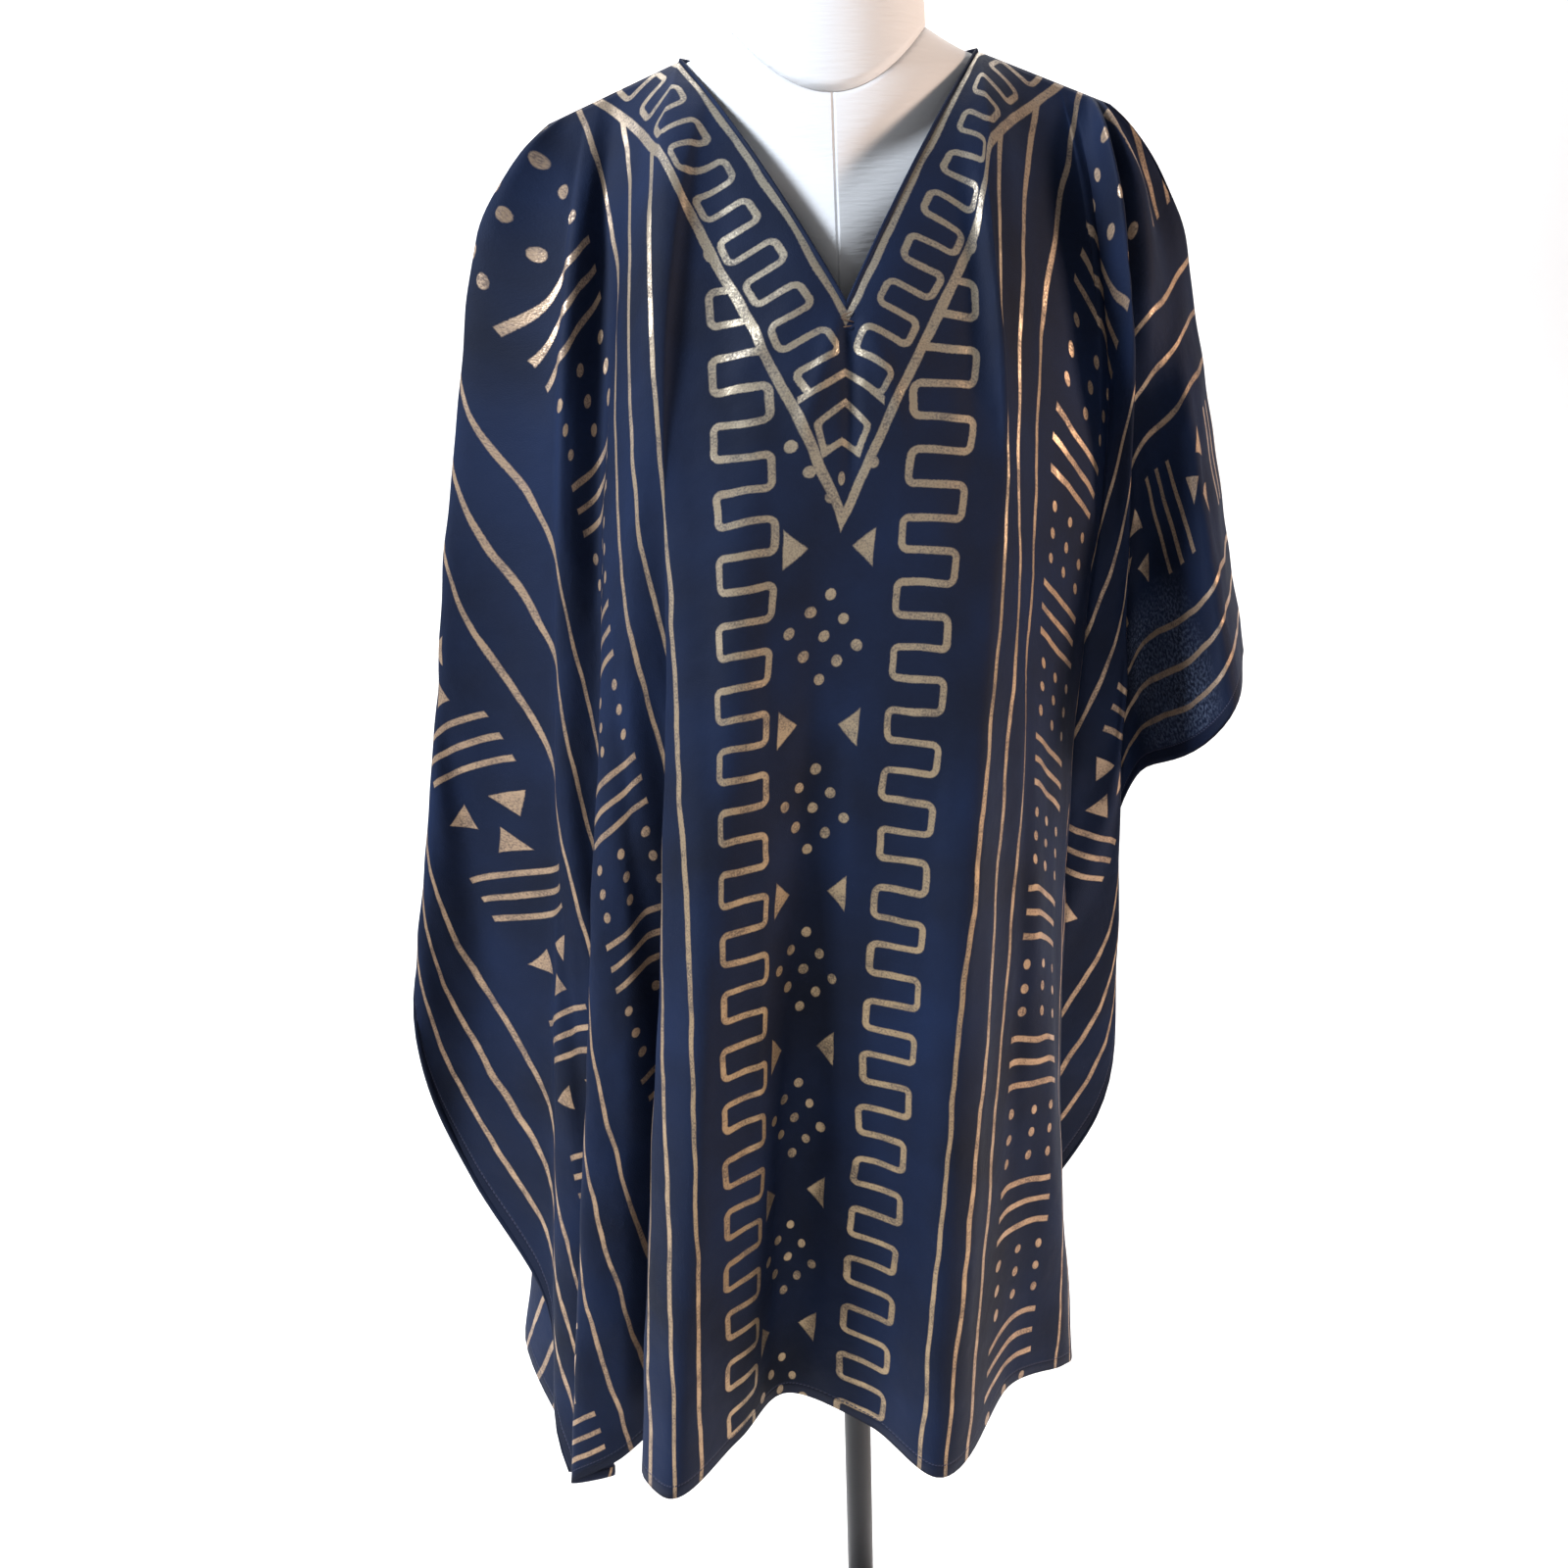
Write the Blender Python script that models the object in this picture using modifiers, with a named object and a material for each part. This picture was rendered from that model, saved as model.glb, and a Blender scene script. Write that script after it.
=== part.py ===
"""A kaftan on a limbless dress form with its stand, in metres, +Z up, front at -Y.

The kaftan is two rectangles of cloth, a front and a back, sewn along the shoulders, along the
top of the wide sleeves and down both sides below the cuffs. Points of the cloth are named by
their flat place: s across from the centre line, t down from the shoulder line. "Left" and
"right" are the viewer's.
"""

import math
from collections import namedtuple

import bpy
import numpy as np

# The cut, flat.
HALF_WIDTH = 0.56  # centre line to side seam and cuff edge
LENGTH = 0.945  # shoulder line to hem
CUFF_DEPTH = 0.265  # each layer of the sleeve opening, from the top fold down
NECK_HALF = 0.092  # centre line to neck point
V_DEPTH = 0.185
BACK_NECK_DEPTH = 0.05
TIP_S = 0.185  # flat place of the shoulder tip on the shoulder line
SIDE_START = HALF_WIDTH  # distances round the edge, from the middle of the hem
CUFF_START = SIDE_START + LENGTH - CUFF_DEPTH
EDGE_END = CUFF_START + CUFF_DEPTH

# The cut, worn.
NECK_POINT = np.array([0.092, 0.0, 1.399])
TIP = np.array([0.176, 0.0, 1.366])
V_BOTTOM = np.array([0.003, -0.108, 1.2535])
V_BULGE = 0.017  # the neckline bows forward over the chest by this much,
V_LIFT = 0.007  # and up by this much
BACK_NECK = np.array([0.0, 0.066, 1.395])

WALL = 0.0015
HALF_GAP = 0.0003  # half of the space left between two pieces at a seam
SHIFT_SHARES = (1.0, 0.75, 0.4)  # how much of that shift the seam and the next two rows take

FULL_CHEST = 1.35  # how much further forward the cloth leaves the shoulder than a parabola

ROWS_OVER = 8  # grid rows from the shoulder to the chest line
ROWS_DOWN = 9  # grid rows from the chest line to the edge
ROW_EASE = 1.3  # the first rows lie closer together, where the cloth turns over the shoulder

# Each row of these tables is one line of the cloth that runs from the shoulder over a chest
# point to the edge. top: where it starts on the shoulder line or neckline (flat s). chest_s,
# chest_t: its flat chest point, chest_x, chest_y: that point's place. edge: distance round the
# edge from the middle of the hem, left negative, edge_x, edge_y: that point's place. cuts: grid
# columns from this line to the next.
Line = namedtuple("Line", "name top chest_s chest_t chest_x chest_y edge edge_x edge_y cuts")

FRONT_LINES = [
    Line("left top fold", -0.185, -0.280, 0.000, -0.227, 0.014, -1.505, -0.290, 0.090, 2),
    Line("left cuff fold", -0.1815, -0.288, 0.037, -0.222, -0.004, -1.375, -0.276, 0.056, 2),
    Line("left underarm", -0.178, -0.282, 0.070, -0.224, -0.020, -1.240, -0.268, 0.030, 3),
    Line("left wing fold", -0.172, -0.276, 0.131, -0.231, -0.039, -0.970, -0.323, -0.030, 3),
    Line("left wing", -0.165, -0.309, 0.228, -0.205, -0.052, -0.820, -0.297, -0.012, 2),
    Line("left wing low", -0.159, -0.315, 0.270, -0.192, -0.060, -0.730, -0.250, -0.030, 2),
    Line("left corner", -0.150, -0.300, 0.310, -0.180, -0.070, -0.560, -0.235, -0.060, 2),
    Line("left side valley", -0.139, -0.262, 0.330, -0.160, -0.068, -0.490, -0.195, -0.088, 2),
    Line("left side ridge", -0.125, -0.205, 0.330, -0.155, -0.090, -0.435, -0.222, -0.125, 3),
    Line("left side panel", -0.102, -0.157, 0.320, -0.137, -0.104, -0.370, -0.180, -0.130, 3),
    Line("left hidden valley", -0.080, -0.118, 0.310, -0.113, -0.110, -0.280, -0.120, -0.090, 3),
    Line("left front edge", -0.060, -0.092, 0.300, -0.095, -0.118, -0.175, -0.157, -0.200, 2),
    Line("left front ridge", -0.045, -0.070, 0.300, -0.075, -0.124, -0.150, -0.141, -0.226, 3),
    Line("left front slope", -0.022, -0.036, 0.305, -0.040, -0.126, -0.070, -0.092, -0.178, 3),
    Line("centre valley", 0.000, 0.000, 0.310, -0.003, -0.126, 0.000, -0.056, -0.132, 3),
    Line("right front slope", 0.025, 0.045, 0.310, 0.038, -0.126, 0.065, 0.002, -0.165, 3),
    Line("right front ridge", 0.050, 0.085, 0.310, 0.078, -0.123, 0.128, 0.044, -0.214, 3),
    Line("right front panel", 0.075, 0.115, 0.320, 0.099, -0.115, 0.230, 0.109, -0.110, 3),
    Line("right front edge", 0.097, 0.140, 0.330, 0.109, -0.101, 0.335, 0.166, -0.060, 1),
    Line("right hidden valley", 0.108, 0.163, 0.330, 0.118, -0.092, 0.365, 0.171, -0.036, 2),
    Line("right side ridge", 0.132, 0.236, 0.310, 0.148, -0.058, 0.410, 0.168, 0.004, 2),
    Line("right corner", 0.150, 0.296, 0.279, 0.166, -0.030, 0.560, 0.105, 0.085, 2),
    Line("right wing low", 0.159, 0.303, 0.243, 0.173, -0.034, 0.730, 0.162, 0.064, 2),
    Line("right wing", 0.165, 0.305, 0.219, 0.179, -0.041, 0.820, 0.205, 0.055, 2),
    Line("right shoulder ridge", 0.171, 0.311, 0.168, 0.186, -0.056, 1.005, 0.208, 0.035, 2),
    Line("right shoulder valley", 0.1745, 0.312, 0.127, 0.184, -0.036, 1.130, 0.200, 0.027, 2),
    Line("right underarm", 0.178, 0.3075, 0.0866, 0.200, -0.038, 1.240, 0.214, 0.000, 2),
    Line("right cuff fold", 0.1815, 0.308, 0.0426, 0.218, -0.022, 1.375, 0.246, -0.100, 2),
    Line("right top fold", 0.185, 0.295, 0.000, 0.230, 0.000, 1.505, 0.280, -0.010, 0),
]

BACK_LINES = [
    Line("left top fold", -0.185, -0.280, 0.000, -0.227, 0.014, -1.505, -0.290, 0.090, 2),
    Line("left cuff fold", -0.1815, -0.288, 0.037, -0.216, 0.032, -1.375, -0.250, 0.115, 2),
    Line("left underarm", -0.178, -0.282, 0.070, -0.210, 0.028, -1.240, -0.268, 0.030, 3),
    Line("left wing fold", -0.172, -0.356, 0.246, -0.208, 0.000, -0.970, -0.323, -0.030, 3),
    Line("left wing", -0.165, -0.309, 0.228, -0.198, 0.030, -0.820, -0.297, -0.012, 2),
    Line("left wing low", -0.159, -0.315, 0.270, -0.190, 0.055, -0.730, -0.250, -0.030, 2),
    Line("left corner", -0.150, -0.285, 0.310, -0.182, 0.078, -0.560, -0.235, -0.060, 2),
    Line("left back ridge", -0.132, -0.220, 0.310, -0.162, 0.098, -0.450, -0.277, 0.040, 3),
    Line("left back valley", -0.108, -0.168, 0.300, -0.132, 0.100, -0.355, -0.200, 0.092, 3),
    Line("left blade ridge", -0.085, -0.112, 0.290, -0.100, 0.108, -0.235, -0.170, 0.200, 3),
    Line("left blade valley", -0.050, -0.060, 0.280, -0.055, 0.108, -0.120, -0.085, 0.140, 3),
    Line("centre back ridge", 0.000, 0.000, 0.280, 0.000, 0.108, 0.000, -0.012, 0.208, 3),
    Line("right blade valley", 0.045, 0.055, 0.280, 0.050, 0.108, 0.100, 0.055, 0.138, 3),
    Line("right blade ridge", 0.080, 0.102, 0.290, 0.092, 0.108, 0.195, 0.100, 0.214, 3),
    Line("right back valley", 0.099, 0.150, 0.300, 0.122, 0.102, 0.285, 0.148, 0.146, 3),
    Line("right back ridge", 0.116, 0.195, 0.310, 0.147, 0.098, 0.365, 0.186, 0.198, 3),
    Line("right back side", 0.134, 0.238, 0.310, 0.164, 0.090, 0.455, 0.168, 0.140, 2),
    Line("right corner", 0.150, 0.296, 0.279, 0.180, 0.082, 0.560, 0.105, 0.085, 2),
    Line("right wing low", 0.159, 0.303, 0.243, 0.190, 0.076, 0.730, 0.162, 0.064, 2),
    Line("right wing", 0.165, 0.305, 0.219, 0.198, 0.070, 0.820, 0.205, 0.055, 2),
    Line("right shoulder ridge", 0.171, 0.311, 0.168, 0.210, 0.060, 1.005, 0.208, 0.035, 2),
    Line("right shoulder valley", 0.1745, 0.312, 0.127, 0.217, 0.050, 1.130, 0.200, 0.027, 2),
    Line("right underarm", 0.178, 0.3075, 0.0866, 0.222, 0.040, 1.240, 0.214, 0.000, 2),
    Line("right cuff fold", 0.1815, 0.308, 0.0426, 0.227, 0.022, 1.375, 0.286, 0.078, 2),
    Line("right top fold", 0.185, 0.295, 0.000, 0.230, 0.000, 1.505, 0.280, -0.010, 0),
]

# The dress form's rings from the neck seam down. Each ring is level at neither the front nor
# the sides: side_z, front_z, back_z are its heights there, and half_width, front, back its sizes.
Ring = namedtuple("Ring", "side_z half_width front_z front back_z back fullness")

FORM_RINGS = [
    Ring(1.4130, 0.060, 1.373, 0.054, 1.400, 0.050, 2.00),
    Ring(1.4025, 0.078, 1.352, 0.060, 1.378, 0.055, 1.60),
    Ring(1.3925, 0.100, 1.325, 0.067, 1.345, 0.062, 1.15),
    Ring(1.3820, 0.125, 1.290, 0.080, 1.305, 0.075, 1.15),
    Ring(1.3726, 0.148, 1.250, 0.084, 1.265, 0.084, 1.10),
    Ring(1.3640, 0.158, 1.215, 0.092, 1.225, 0.090, 1.12),
    Ring(1.3450, 0.160, 1.180, 0.104, 1.190, 0.094, 1.30),
    Ring(1.2950, 0.157, 1.150, 0.108, 1.155, 0.095, 1.50),
    Ring(1.2300, 0.150, 1.115, 0.108, 1.115, 0.092, 1.80),
    Ring(1.1600, 0.144, 1.075, 0.105, 1.075, 0.088, 2.00),
    Ring(1.0850, 0.138, 1.025, 0.098, 1.025, 0.083, 2.00),
    Ring(1.0050, 0.128, 0.970, 0.090, 0.970, 0.079, 2.00),
    Ring(0.9250, 0.112, 0.915, 0.082, 0.915, 0.076, 2.00),
    Ring(0.8750, 0.118, 0.870, 0.083, 0.870, 0.082, 2.00),
    Ring(0.8300, 0.120, 0.830, 0.082, 0.830, 0.083, 2.00),
    Ring(0.8060, 0.112, 0.806, 0.076, 0.806, 0.077, 2.00),
    Ring(0.8000, 0.098, 0.800, 0.066, 0.800, 0.067, 2.00),
]
FORM_SIDES = 32

NECK_TOP = 1.480
POLE_RADIUS = 0.011
BASE_RADIUS = 0.145
BASE_HEIGHT = 0.012


def clear_scene():
    for obj in list(bpy.data.objects):
        bpy.data.objects.remove(obj, do_unlink=True)


def edge_flat(edge):
    """Flat place (s, t) at a distance round the edge from the middle of the hem."""
    side = np.where(edge < 0, -1.0, 1.0)
    away = np.abs(edge)
    s = np.minimum(away, HALF_WIDTH)
    t = np.where(away <= SIDE_START, LENGTH, LENGTH - (away - SIDE_START))
    return side * s, np.maximum(t, 0.0)


def start_of(top, front):
    """Flat place and worn place of a line's start, on the shoulder line or the neckline."""
    side = np.where(top < 0, -1.0, 1.0)
    away = np.abs(top)
    over = np.clip(away / NECK_HALF, 0.0, 1.0)[:, None]
    mirror = np.stack([side, np.ones_like(side), np.ones_like(side)], axis=1)
    if front:
        t = V_DEPTH * (1.0 - over[:, 0])
        bow = np.array([0.0, -V_BULGE, V_LIFT]) * 4.0 * over * (1.0 - over)
        neck = V_BOTTOM * (1.0 - over) + NECK_POINT * mirror * over + bow
    else:
        t = BACK_NECK_DEPTH * (1.0 - over[:, 0] ** 2)
        neck = np.hstack(
            [
                side[:, None] * NECK_POINT[0] * over,
                BACK_NECK[1] * (1.0 - over**2),
                BACK_NECK[2] + (NECK_POINT[2] - BACK_NECK[2]) * over**2,
            ]
        )
    along = np.clip((away - NECK_HALF) / (TIP_S - NECK_HALF), 0.0, 1.0)[:, None]
    shoulder = (NECK_POINT * (1.0 - along) + TIP * along) * mirror
    on_neck = away < NECK_HALF
    place = np.where(on_neck[:, None], neck, shoulder)
    return top, np.where(on_neck, t, 0.0), place


def hermite(knots, values, at):
    """Cubic through the knots, with the slope at each knot from its two neighbours."""
    steps = np.diff(knots)
    chords = np.diff(values) / steps
    slopes = np.empty_like(values)
    slopes[1:-1] = (chords[:-1] * steps[1:] + chords[1:] * steps[:-1]) / (steps[:-1] + steps[1:])
    slopes[0] = chords[0]
    slopes[-1] = chords[-1]
    index = np.clip(np.searchsorted(knots, at, side="right") - 1, 0, len(knots) - 2)
    width = steps[index]
    u = (at - knots[index]) / width
    low, high = values[index], values[index + 1]
    return (
        low * (1 + 2 * u) * (1 - u) ** 2
        + high * u**2 * (3 - 2 * u)
        + slopes[index] * width * u * (1 - u) ** 2
        + slopes[index + 1] * width * u**2 * (u - 1)
    )


def columns_of(lines):
    """The table's values at every grid column, each a smooth curve through its lines."""
    knots = np.array([line.edge for line in lines])
    at = [knots[0]]
    for line, following in zip(lines[:-1], lines[1:]):
        for cut in range(1, line.cuts + 1):
            at.append(line.edge + (following.edge - line.edge) * cut / line.cuts)
    at = np.array(at)
    fields = ("top", "chest_s", "chest_t", "chest_x", "chest_y", "edge_x", "edge_y")
    found = {
        name: hermite(knots, np.array([getattr(line, name) for line in lines]), at)
        for name in fields
    }
    found["top"] = np.clip(found["top"], -TIP_S, TIP_S)
    found["chest_t"] = np.maximum(found["chest_t"], 0.0)
    found["edge"] = at
    return found


def drape(lines, front):
    """Grid of worn points and of flat places: columns across the cloth, rows down it.

    Each column curves over the shoulder as far as the chest point and hangs straight from
    there to the edge. Its height falls by what its flat length leaves over.
    """
    column = columns_of(lines)
    start_s, start_t, start = start_of(column["top"], front)
    edge_s, edge_t = edge_flat(column["edge"])
    over = np.hypot(column["chest_s"] - start_s, column["chest_t"] - start_t)
    down = np.hypot(edge_s - column["chest_s"], edge_t - column["chest_t"])
    chest = np.stack([column["chest_x"], column["chest_y"]], axis=1)
    edge = np.stack([column["edge_x"], column["edge_y"]], axis=1)
    steep = (chest - start[:, :2]) / over[:, None]
    hang = (edge - chest) / down[:, None]
    leave = (2 * steep - hang) * np.array([1.0, FULL_CHEST])
    leave = leave * np.minimum(1.0, 0.95 / np.linalg.norm(leave, axis=1))[:, None]
    points, flats = [], []
    height = start[:, 2].copy()
    fine = 12
    before = 0.0
    for step in range(ROWS_OVER * fine + 1):
        u = (step / (ROWS_OVER * fine)) ** ROW_EASE
        if step:
            middle = (u + before) / 2
            lean = (1 - 4 * middle + 3 * middle**2) * leave + (3 * middle**2 - 2 * middle) * hang
            lean = lean + 6 * middle * (1 - middle) * steep
            fall = np.sqrt(np.maximum(1.0 - (lean**2).sum(axis=1), 0.03))
            height = height - fall * over * (u - before)
            before = u
        if step % fine:
            continue
        bend = u * (1 - u) ** 2 * leave - u**2 * (1 - u) * hang
        place = start[:, :2] + (chest - start[:, :2]) * u**2 * (3 - 2 * u) + bend * over[:, None]
        points.append(np.column_stack([place, height]))
        s = start_s + (column["chest_s"] - start_s) * u
        t = start_t + (column["chest_t"] - start_t) * u
        flats.append(np.column_stack([s, t]))
    fall = np.sqrt(np.maximum(1.0 - (hang**2).sum(axis=1), 0.03))
    for row in range(1, ROWS_DOWN + 1):
        u = row / ROWS_DOWN
        place = chest + hang * (down * u)[:, None]
        points.append(np.column_stack([place, height - fall * down * u]))
        s = column["chest_s"] + (edge_s - column["chest_s"]) * u
        t = column["chest_t"] + (edge_t - column["chest_t"]) * u
        flats.append(np.column_stack([s, t]))
    return np.array(points).transpose(1, 0, 2), np.array(flats).transpose(1, 0, 2), column["edge"]


def shared_edge(edges):
    """Grid index lists (column, row) of the seams that a panel shares, with a first row inside."""
    last = ROWS_OVER + ROWS_DOWN
    seams = []
    for name, column, inward in (("left top", 0, 1), ("right top", len(edges) - 1, -1)):
        seams.append((name, [(column, row, column + inward, row) for row in range(last + 1)]))
    for name, sign in (("left side", -1), ("right side", 1)):
        found = [
            (column, last, column, last - 1)
            for column, edge in enumerate(edges)
            if SIDE_START - 1e-9 <= sign * edge <= CUFF_START + 1e-9
        ]
        seams.append((name, found))
    return seams


def part_seams(front, front_edges, back, back_edges):
    """Moves the two panels apart along their shared seams by the wall and the gap."""
    front_seams = shared_edge(front_edges)
    back_seams = shared_edge(back_edges)
    for (_, ours), (_, theirs) in zip(front_seams, back_seams):
        for (c, r, _, _), (d, q, _, _) in zip(ours, theirs):
            back[d, q] = front[c, r]
    moves = []
    for (_, ours), (_, theirs) in zip(front_seams, back_seams):
        line = np.array([front[c, r] for c, r, _, _ in ours])
        tangent = np.gradient(line, axis=0)
        tangent /= np.linalg.norm(tangent, axis=1)[:, None]
        into = []
        for grid, seam in ((front, ours), (back, theirs)):
            inner = np.array([grid[c, r] for _, _, c, r in seam])
            away = inner - line
            away -= (away * tangent).sum(axis=1)[:, None] * tangent
            into.append(away / np.maximum(np.linalg.norm(away, axis=1), 1e-9)[:, None])
        apart = into[0] - into[1]
        size = np.linalg.norm(apart, axis=1)
        apart /= np.maximum(size, 1e-9)[:, None]
        closing = np.sqrt(np.maximum(1.0 - (size / 2) ** 2, 0.0))
        shift = apart * (HALF_GAP + WALL / 2 * np.minimum(1.0, 1.3 * closing))[:, None]
        moves.append((ours, theirs, shift))
    for ours, theirs, shift in moves:
        for (c, r, ci, ri), (d, q, di, qi), by in zip(ours, theirs, shift):
            for deep, share in enumerate(SHIFT_SHARES):
                front[c + deep * (ci - c), r + deep * (ri - r)] += by * share
                back[d + deep * (di - d), q + deep * (qi - q)] -= by * share
    # The shoulder line runs straight along the first row, so a plain step apart is enough.
    for row, share in enumerate(SHIFT_SHARES):
        front[:, row, 1] -= (HALF_GAP + WALL * 0.4) * share
        back[:, row, 1] += (HALF_GAP + WALL * 0.4) * share


def sheet(name, grid, material, collection, outward):
    """The grid as an open surface, thickened both ways to the cloth's wall."""
    across, down = grid.shape[:2]
    faces = []
    for column in range(across - 1):
        for row in range(down - 1):
            a = column * down + row
            quad = (a, a + 1, a + down + 1, a + down)
            faces.append(quad if outward else quad[::-1])
    mesh = bpy.data.meshes.new(name)
    mesh.from_pydata(grid.reshape(-1, 3).tolist(), [], faces)
    mesh.materials.append(material)
    obj = bpy.data.objects.new(name, mesh)
    collection.objects.link(obj)
    wall = obj.modifiers.new("wall", "SOLIDIFY")
    wall.thickness = WALL
    wall.offset = 0.0
    return obj


def ring_points(ring):
    points = []
    for step in range(FORM_SIDES):
        angle = 2 * math.pi * step / FORM_SIDES
        ahead = math.cos(angle)
        aside = math.sin(angle)
        depth = ring.front if ahead > 0 else ring.back
        end_z = ring.front_z if ahead > 0 else ring.back_z
        z = ring.side_z + (end_z - ring.side_z) * ahead**2
        x = ring.half_width * math.copysign(abs(aside) ** (2 / ring.fullness), aside)
        y = -depth * math.copysign(abs(ahead) ** (2 / ring.fullness), ahead)
        points.append((x, y, z))
    return points


def loft(name, rings, material, collection):
    """A closed body through rings of equal count, from the top one down, with flat ends."""
    points = [point for ring in rings for point in ring]
    count = len(rings[0])
    last = len(points) - count
    faces = []
    for level in range(len(rings) - 1):
        for step in range(count):
            a = level * count + step
            b = level * count + (step + 1) % count
            faces.append((a, a + count, b + count, b))
    for first, ring, turned in ((0, rings[0], False), (last, rings[-1], True)):
        centre = len(points)
        points.append(tuple(sum(point[axis] for point in ring) / count for axis in range(3)))
        for step in range(count):
            ends = (first + step, first + (step + 1) % count)
            faces.append((centre, *(reversed(ends) if turned else ends)))
    mesh = bpy.data.meshes.new(name)
    mesh.from_pydata(points, [], faces)
    mesh.materials.append(material)
    obj = bpy.data.objects.new(name, mesh)
    collection.objects.link(obj)
    return obj


def circle(radius, z, count=FORM_SIDES):
    steps = [2 * math.pi * step / count for step in range(count)]
    return [(radius * math.sin(a), -radius * math.cos(a), z) for a in steps]


def plain(name, colour, roughness, metallic=0.0):
    material = bpy.data.materials.new(name)
    material.use_nodes = True
    shader = material.node_tree.nodes["Principled BSDF"]
    shader.inputs["Base Color"].default_value = (*colour, 1.0)
    shader.inputs["Roughness"].default_value = roughness
    shader.inputs["Metallic"].default_value = metallic
    return material


def main():
    clear_scene()
    parts = bpy.data.collections.new("kaftan_on_form")
    bpy.context.scene.collection.children.link(parts)

    front, _, front_edges = drape(FRONT_LINES, True)
    back, _, back_edges = drape(BACK_LINES, False)
    part_seams(front, front_edges, back, back_edges)
    sheet("front_panel", front, plain("navy crepe", (0.010, 0.014, 0.035), 0.8), parts, True)
    sheet("back_panel", back, plain("navy crepe, back", (0.010, 0.014, 0.035), 0.8), parts, False)

    linen = plain("off-white linen", (0.78, 0.76, 0.73), 0.9)
    torso = [ring_points(ring) for ring in FORM_RINGS]
    loft("form_torso", torso, linen, parts)

    neck_seam = ring_points(FORM_RINGS[0])
    lifted = [(x, y, z + 2 * HALF_GAP) for x, y, z in neck_seam]
    waist = [(x * 0.965, y * 0.97, 0.35 * z + 0.65 * 1.432) for x, y, z in neck_seam]
    collar = [(x * 0.950, y * 0.97, NECK_TOP - 0.006) for x, y, _ in neck_seam]
    top = [(x * 0.880, y * 0.90, NECK_TOP) for x, y, _ in neck_seam]
    loft("form_neck", [top, collar, waist, lifted], linen, parts)

    steel = plain("black stand", (0.010, 0.010, 0.012), 0.45)
    torso_bottom = FORM_RINGS[-1].side_z
    pole = [circle(POLE_RADIUS, torso_bottom - 2 * HALF_GAP, 24)]
    pole.append(circle(POLE_RADIUS, BASE_HEIGHT + 2 * HALF_GAP, 24))
    loft("stand_pole", pole, steel, parts)
    base = [
        circle(BASE_RADIUS - 0.003, BASE_HEIGHT, 48),
        circle(BASE_RADIUS, BASE_HEIGHT - 0.003, 48),
        circle(BASE_RADIUS, 0.0, 48),
    ]
    loft("stand_base", base, steel, parts)


if __name__ == "__main__":
    main()
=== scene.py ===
"""Looks of a kaftan on a limbless dress form with its stand, in metres, +Z up, front at -Y.

Every piece is a numpy surface worked out from named sizes and short tables. Points of the cloth
are named by their flat place: s across from the centre line, t down from the shoulder line.
"Left" and "right" are the viewer's.
"""

import json
import logging
import math
from dataclasses import dataclass, replace
from enum import Enum

import bpy
import numpy as np
from mathutils import Euler, Matrix, Vector


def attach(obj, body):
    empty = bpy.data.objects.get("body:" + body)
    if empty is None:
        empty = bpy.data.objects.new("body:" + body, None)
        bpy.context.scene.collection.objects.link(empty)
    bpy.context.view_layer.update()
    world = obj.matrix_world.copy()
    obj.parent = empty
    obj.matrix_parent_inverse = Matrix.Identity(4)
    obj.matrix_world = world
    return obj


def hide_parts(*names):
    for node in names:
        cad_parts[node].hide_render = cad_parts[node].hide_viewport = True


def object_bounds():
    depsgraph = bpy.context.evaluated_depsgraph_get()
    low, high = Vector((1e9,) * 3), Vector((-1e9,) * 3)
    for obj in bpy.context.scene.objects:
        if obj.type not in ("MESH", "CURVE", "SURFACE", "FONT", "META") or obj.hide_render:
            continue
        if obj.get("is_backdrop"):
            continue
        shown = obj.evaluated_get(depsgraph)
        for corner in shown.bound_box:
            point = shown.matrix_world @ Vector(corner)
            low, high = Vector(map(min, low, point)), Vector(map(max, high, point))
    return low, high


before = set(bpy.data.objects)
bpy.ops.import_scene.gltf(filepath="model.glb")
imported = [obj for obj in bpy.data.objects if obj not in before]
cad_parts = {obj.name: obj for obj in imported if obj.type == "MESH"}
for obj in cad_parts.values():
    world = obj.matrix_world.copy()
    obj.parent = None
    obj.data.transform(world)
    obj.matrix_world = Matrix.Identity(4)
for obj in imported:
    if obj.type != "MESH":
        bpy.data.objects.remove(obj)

log = logging.getLogger("kaftan")

Colour = tuple[float, float, float]

# The cut, flat.
HALF_WIDTH = 0.56  # centre line to side seam and cuff edge
LENGTH = 0.945  # shoulder line to hem
CUFF_DEPTH = 0.265  # each layer of the sleeve opening, from the top fold down
NECK_HALF = 0.092  # centre line to neck point
V_DEPTH = 0.185
BACK_NECK_DEPTH = 0.05
TIP_S = 0.185  # flat place of the shoulder tip on the shoulder line

# The cut, worn.
NECK_POINT = np.array([0.092, 0.0, 1.399])
TIP = np.array([0.176, 0.0, 1.366])
V_BOTTOM = np.array([0.003, -0.108, 1.2535])
V_BULGE = 0.017  # the neckline bows forward over the chest by this much,
V_LIFT = 0.007  # and up by this much
BACK_NECK = np.array([0.0, 0.066, 1.395])
FULL_CHEST = 1.35  # how much further forward the cloth leaves the shoulder than a parabola
ROW_EASE = 1.3  # the first rows lie closer together, where the cloth turns over the shoulder

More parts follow.
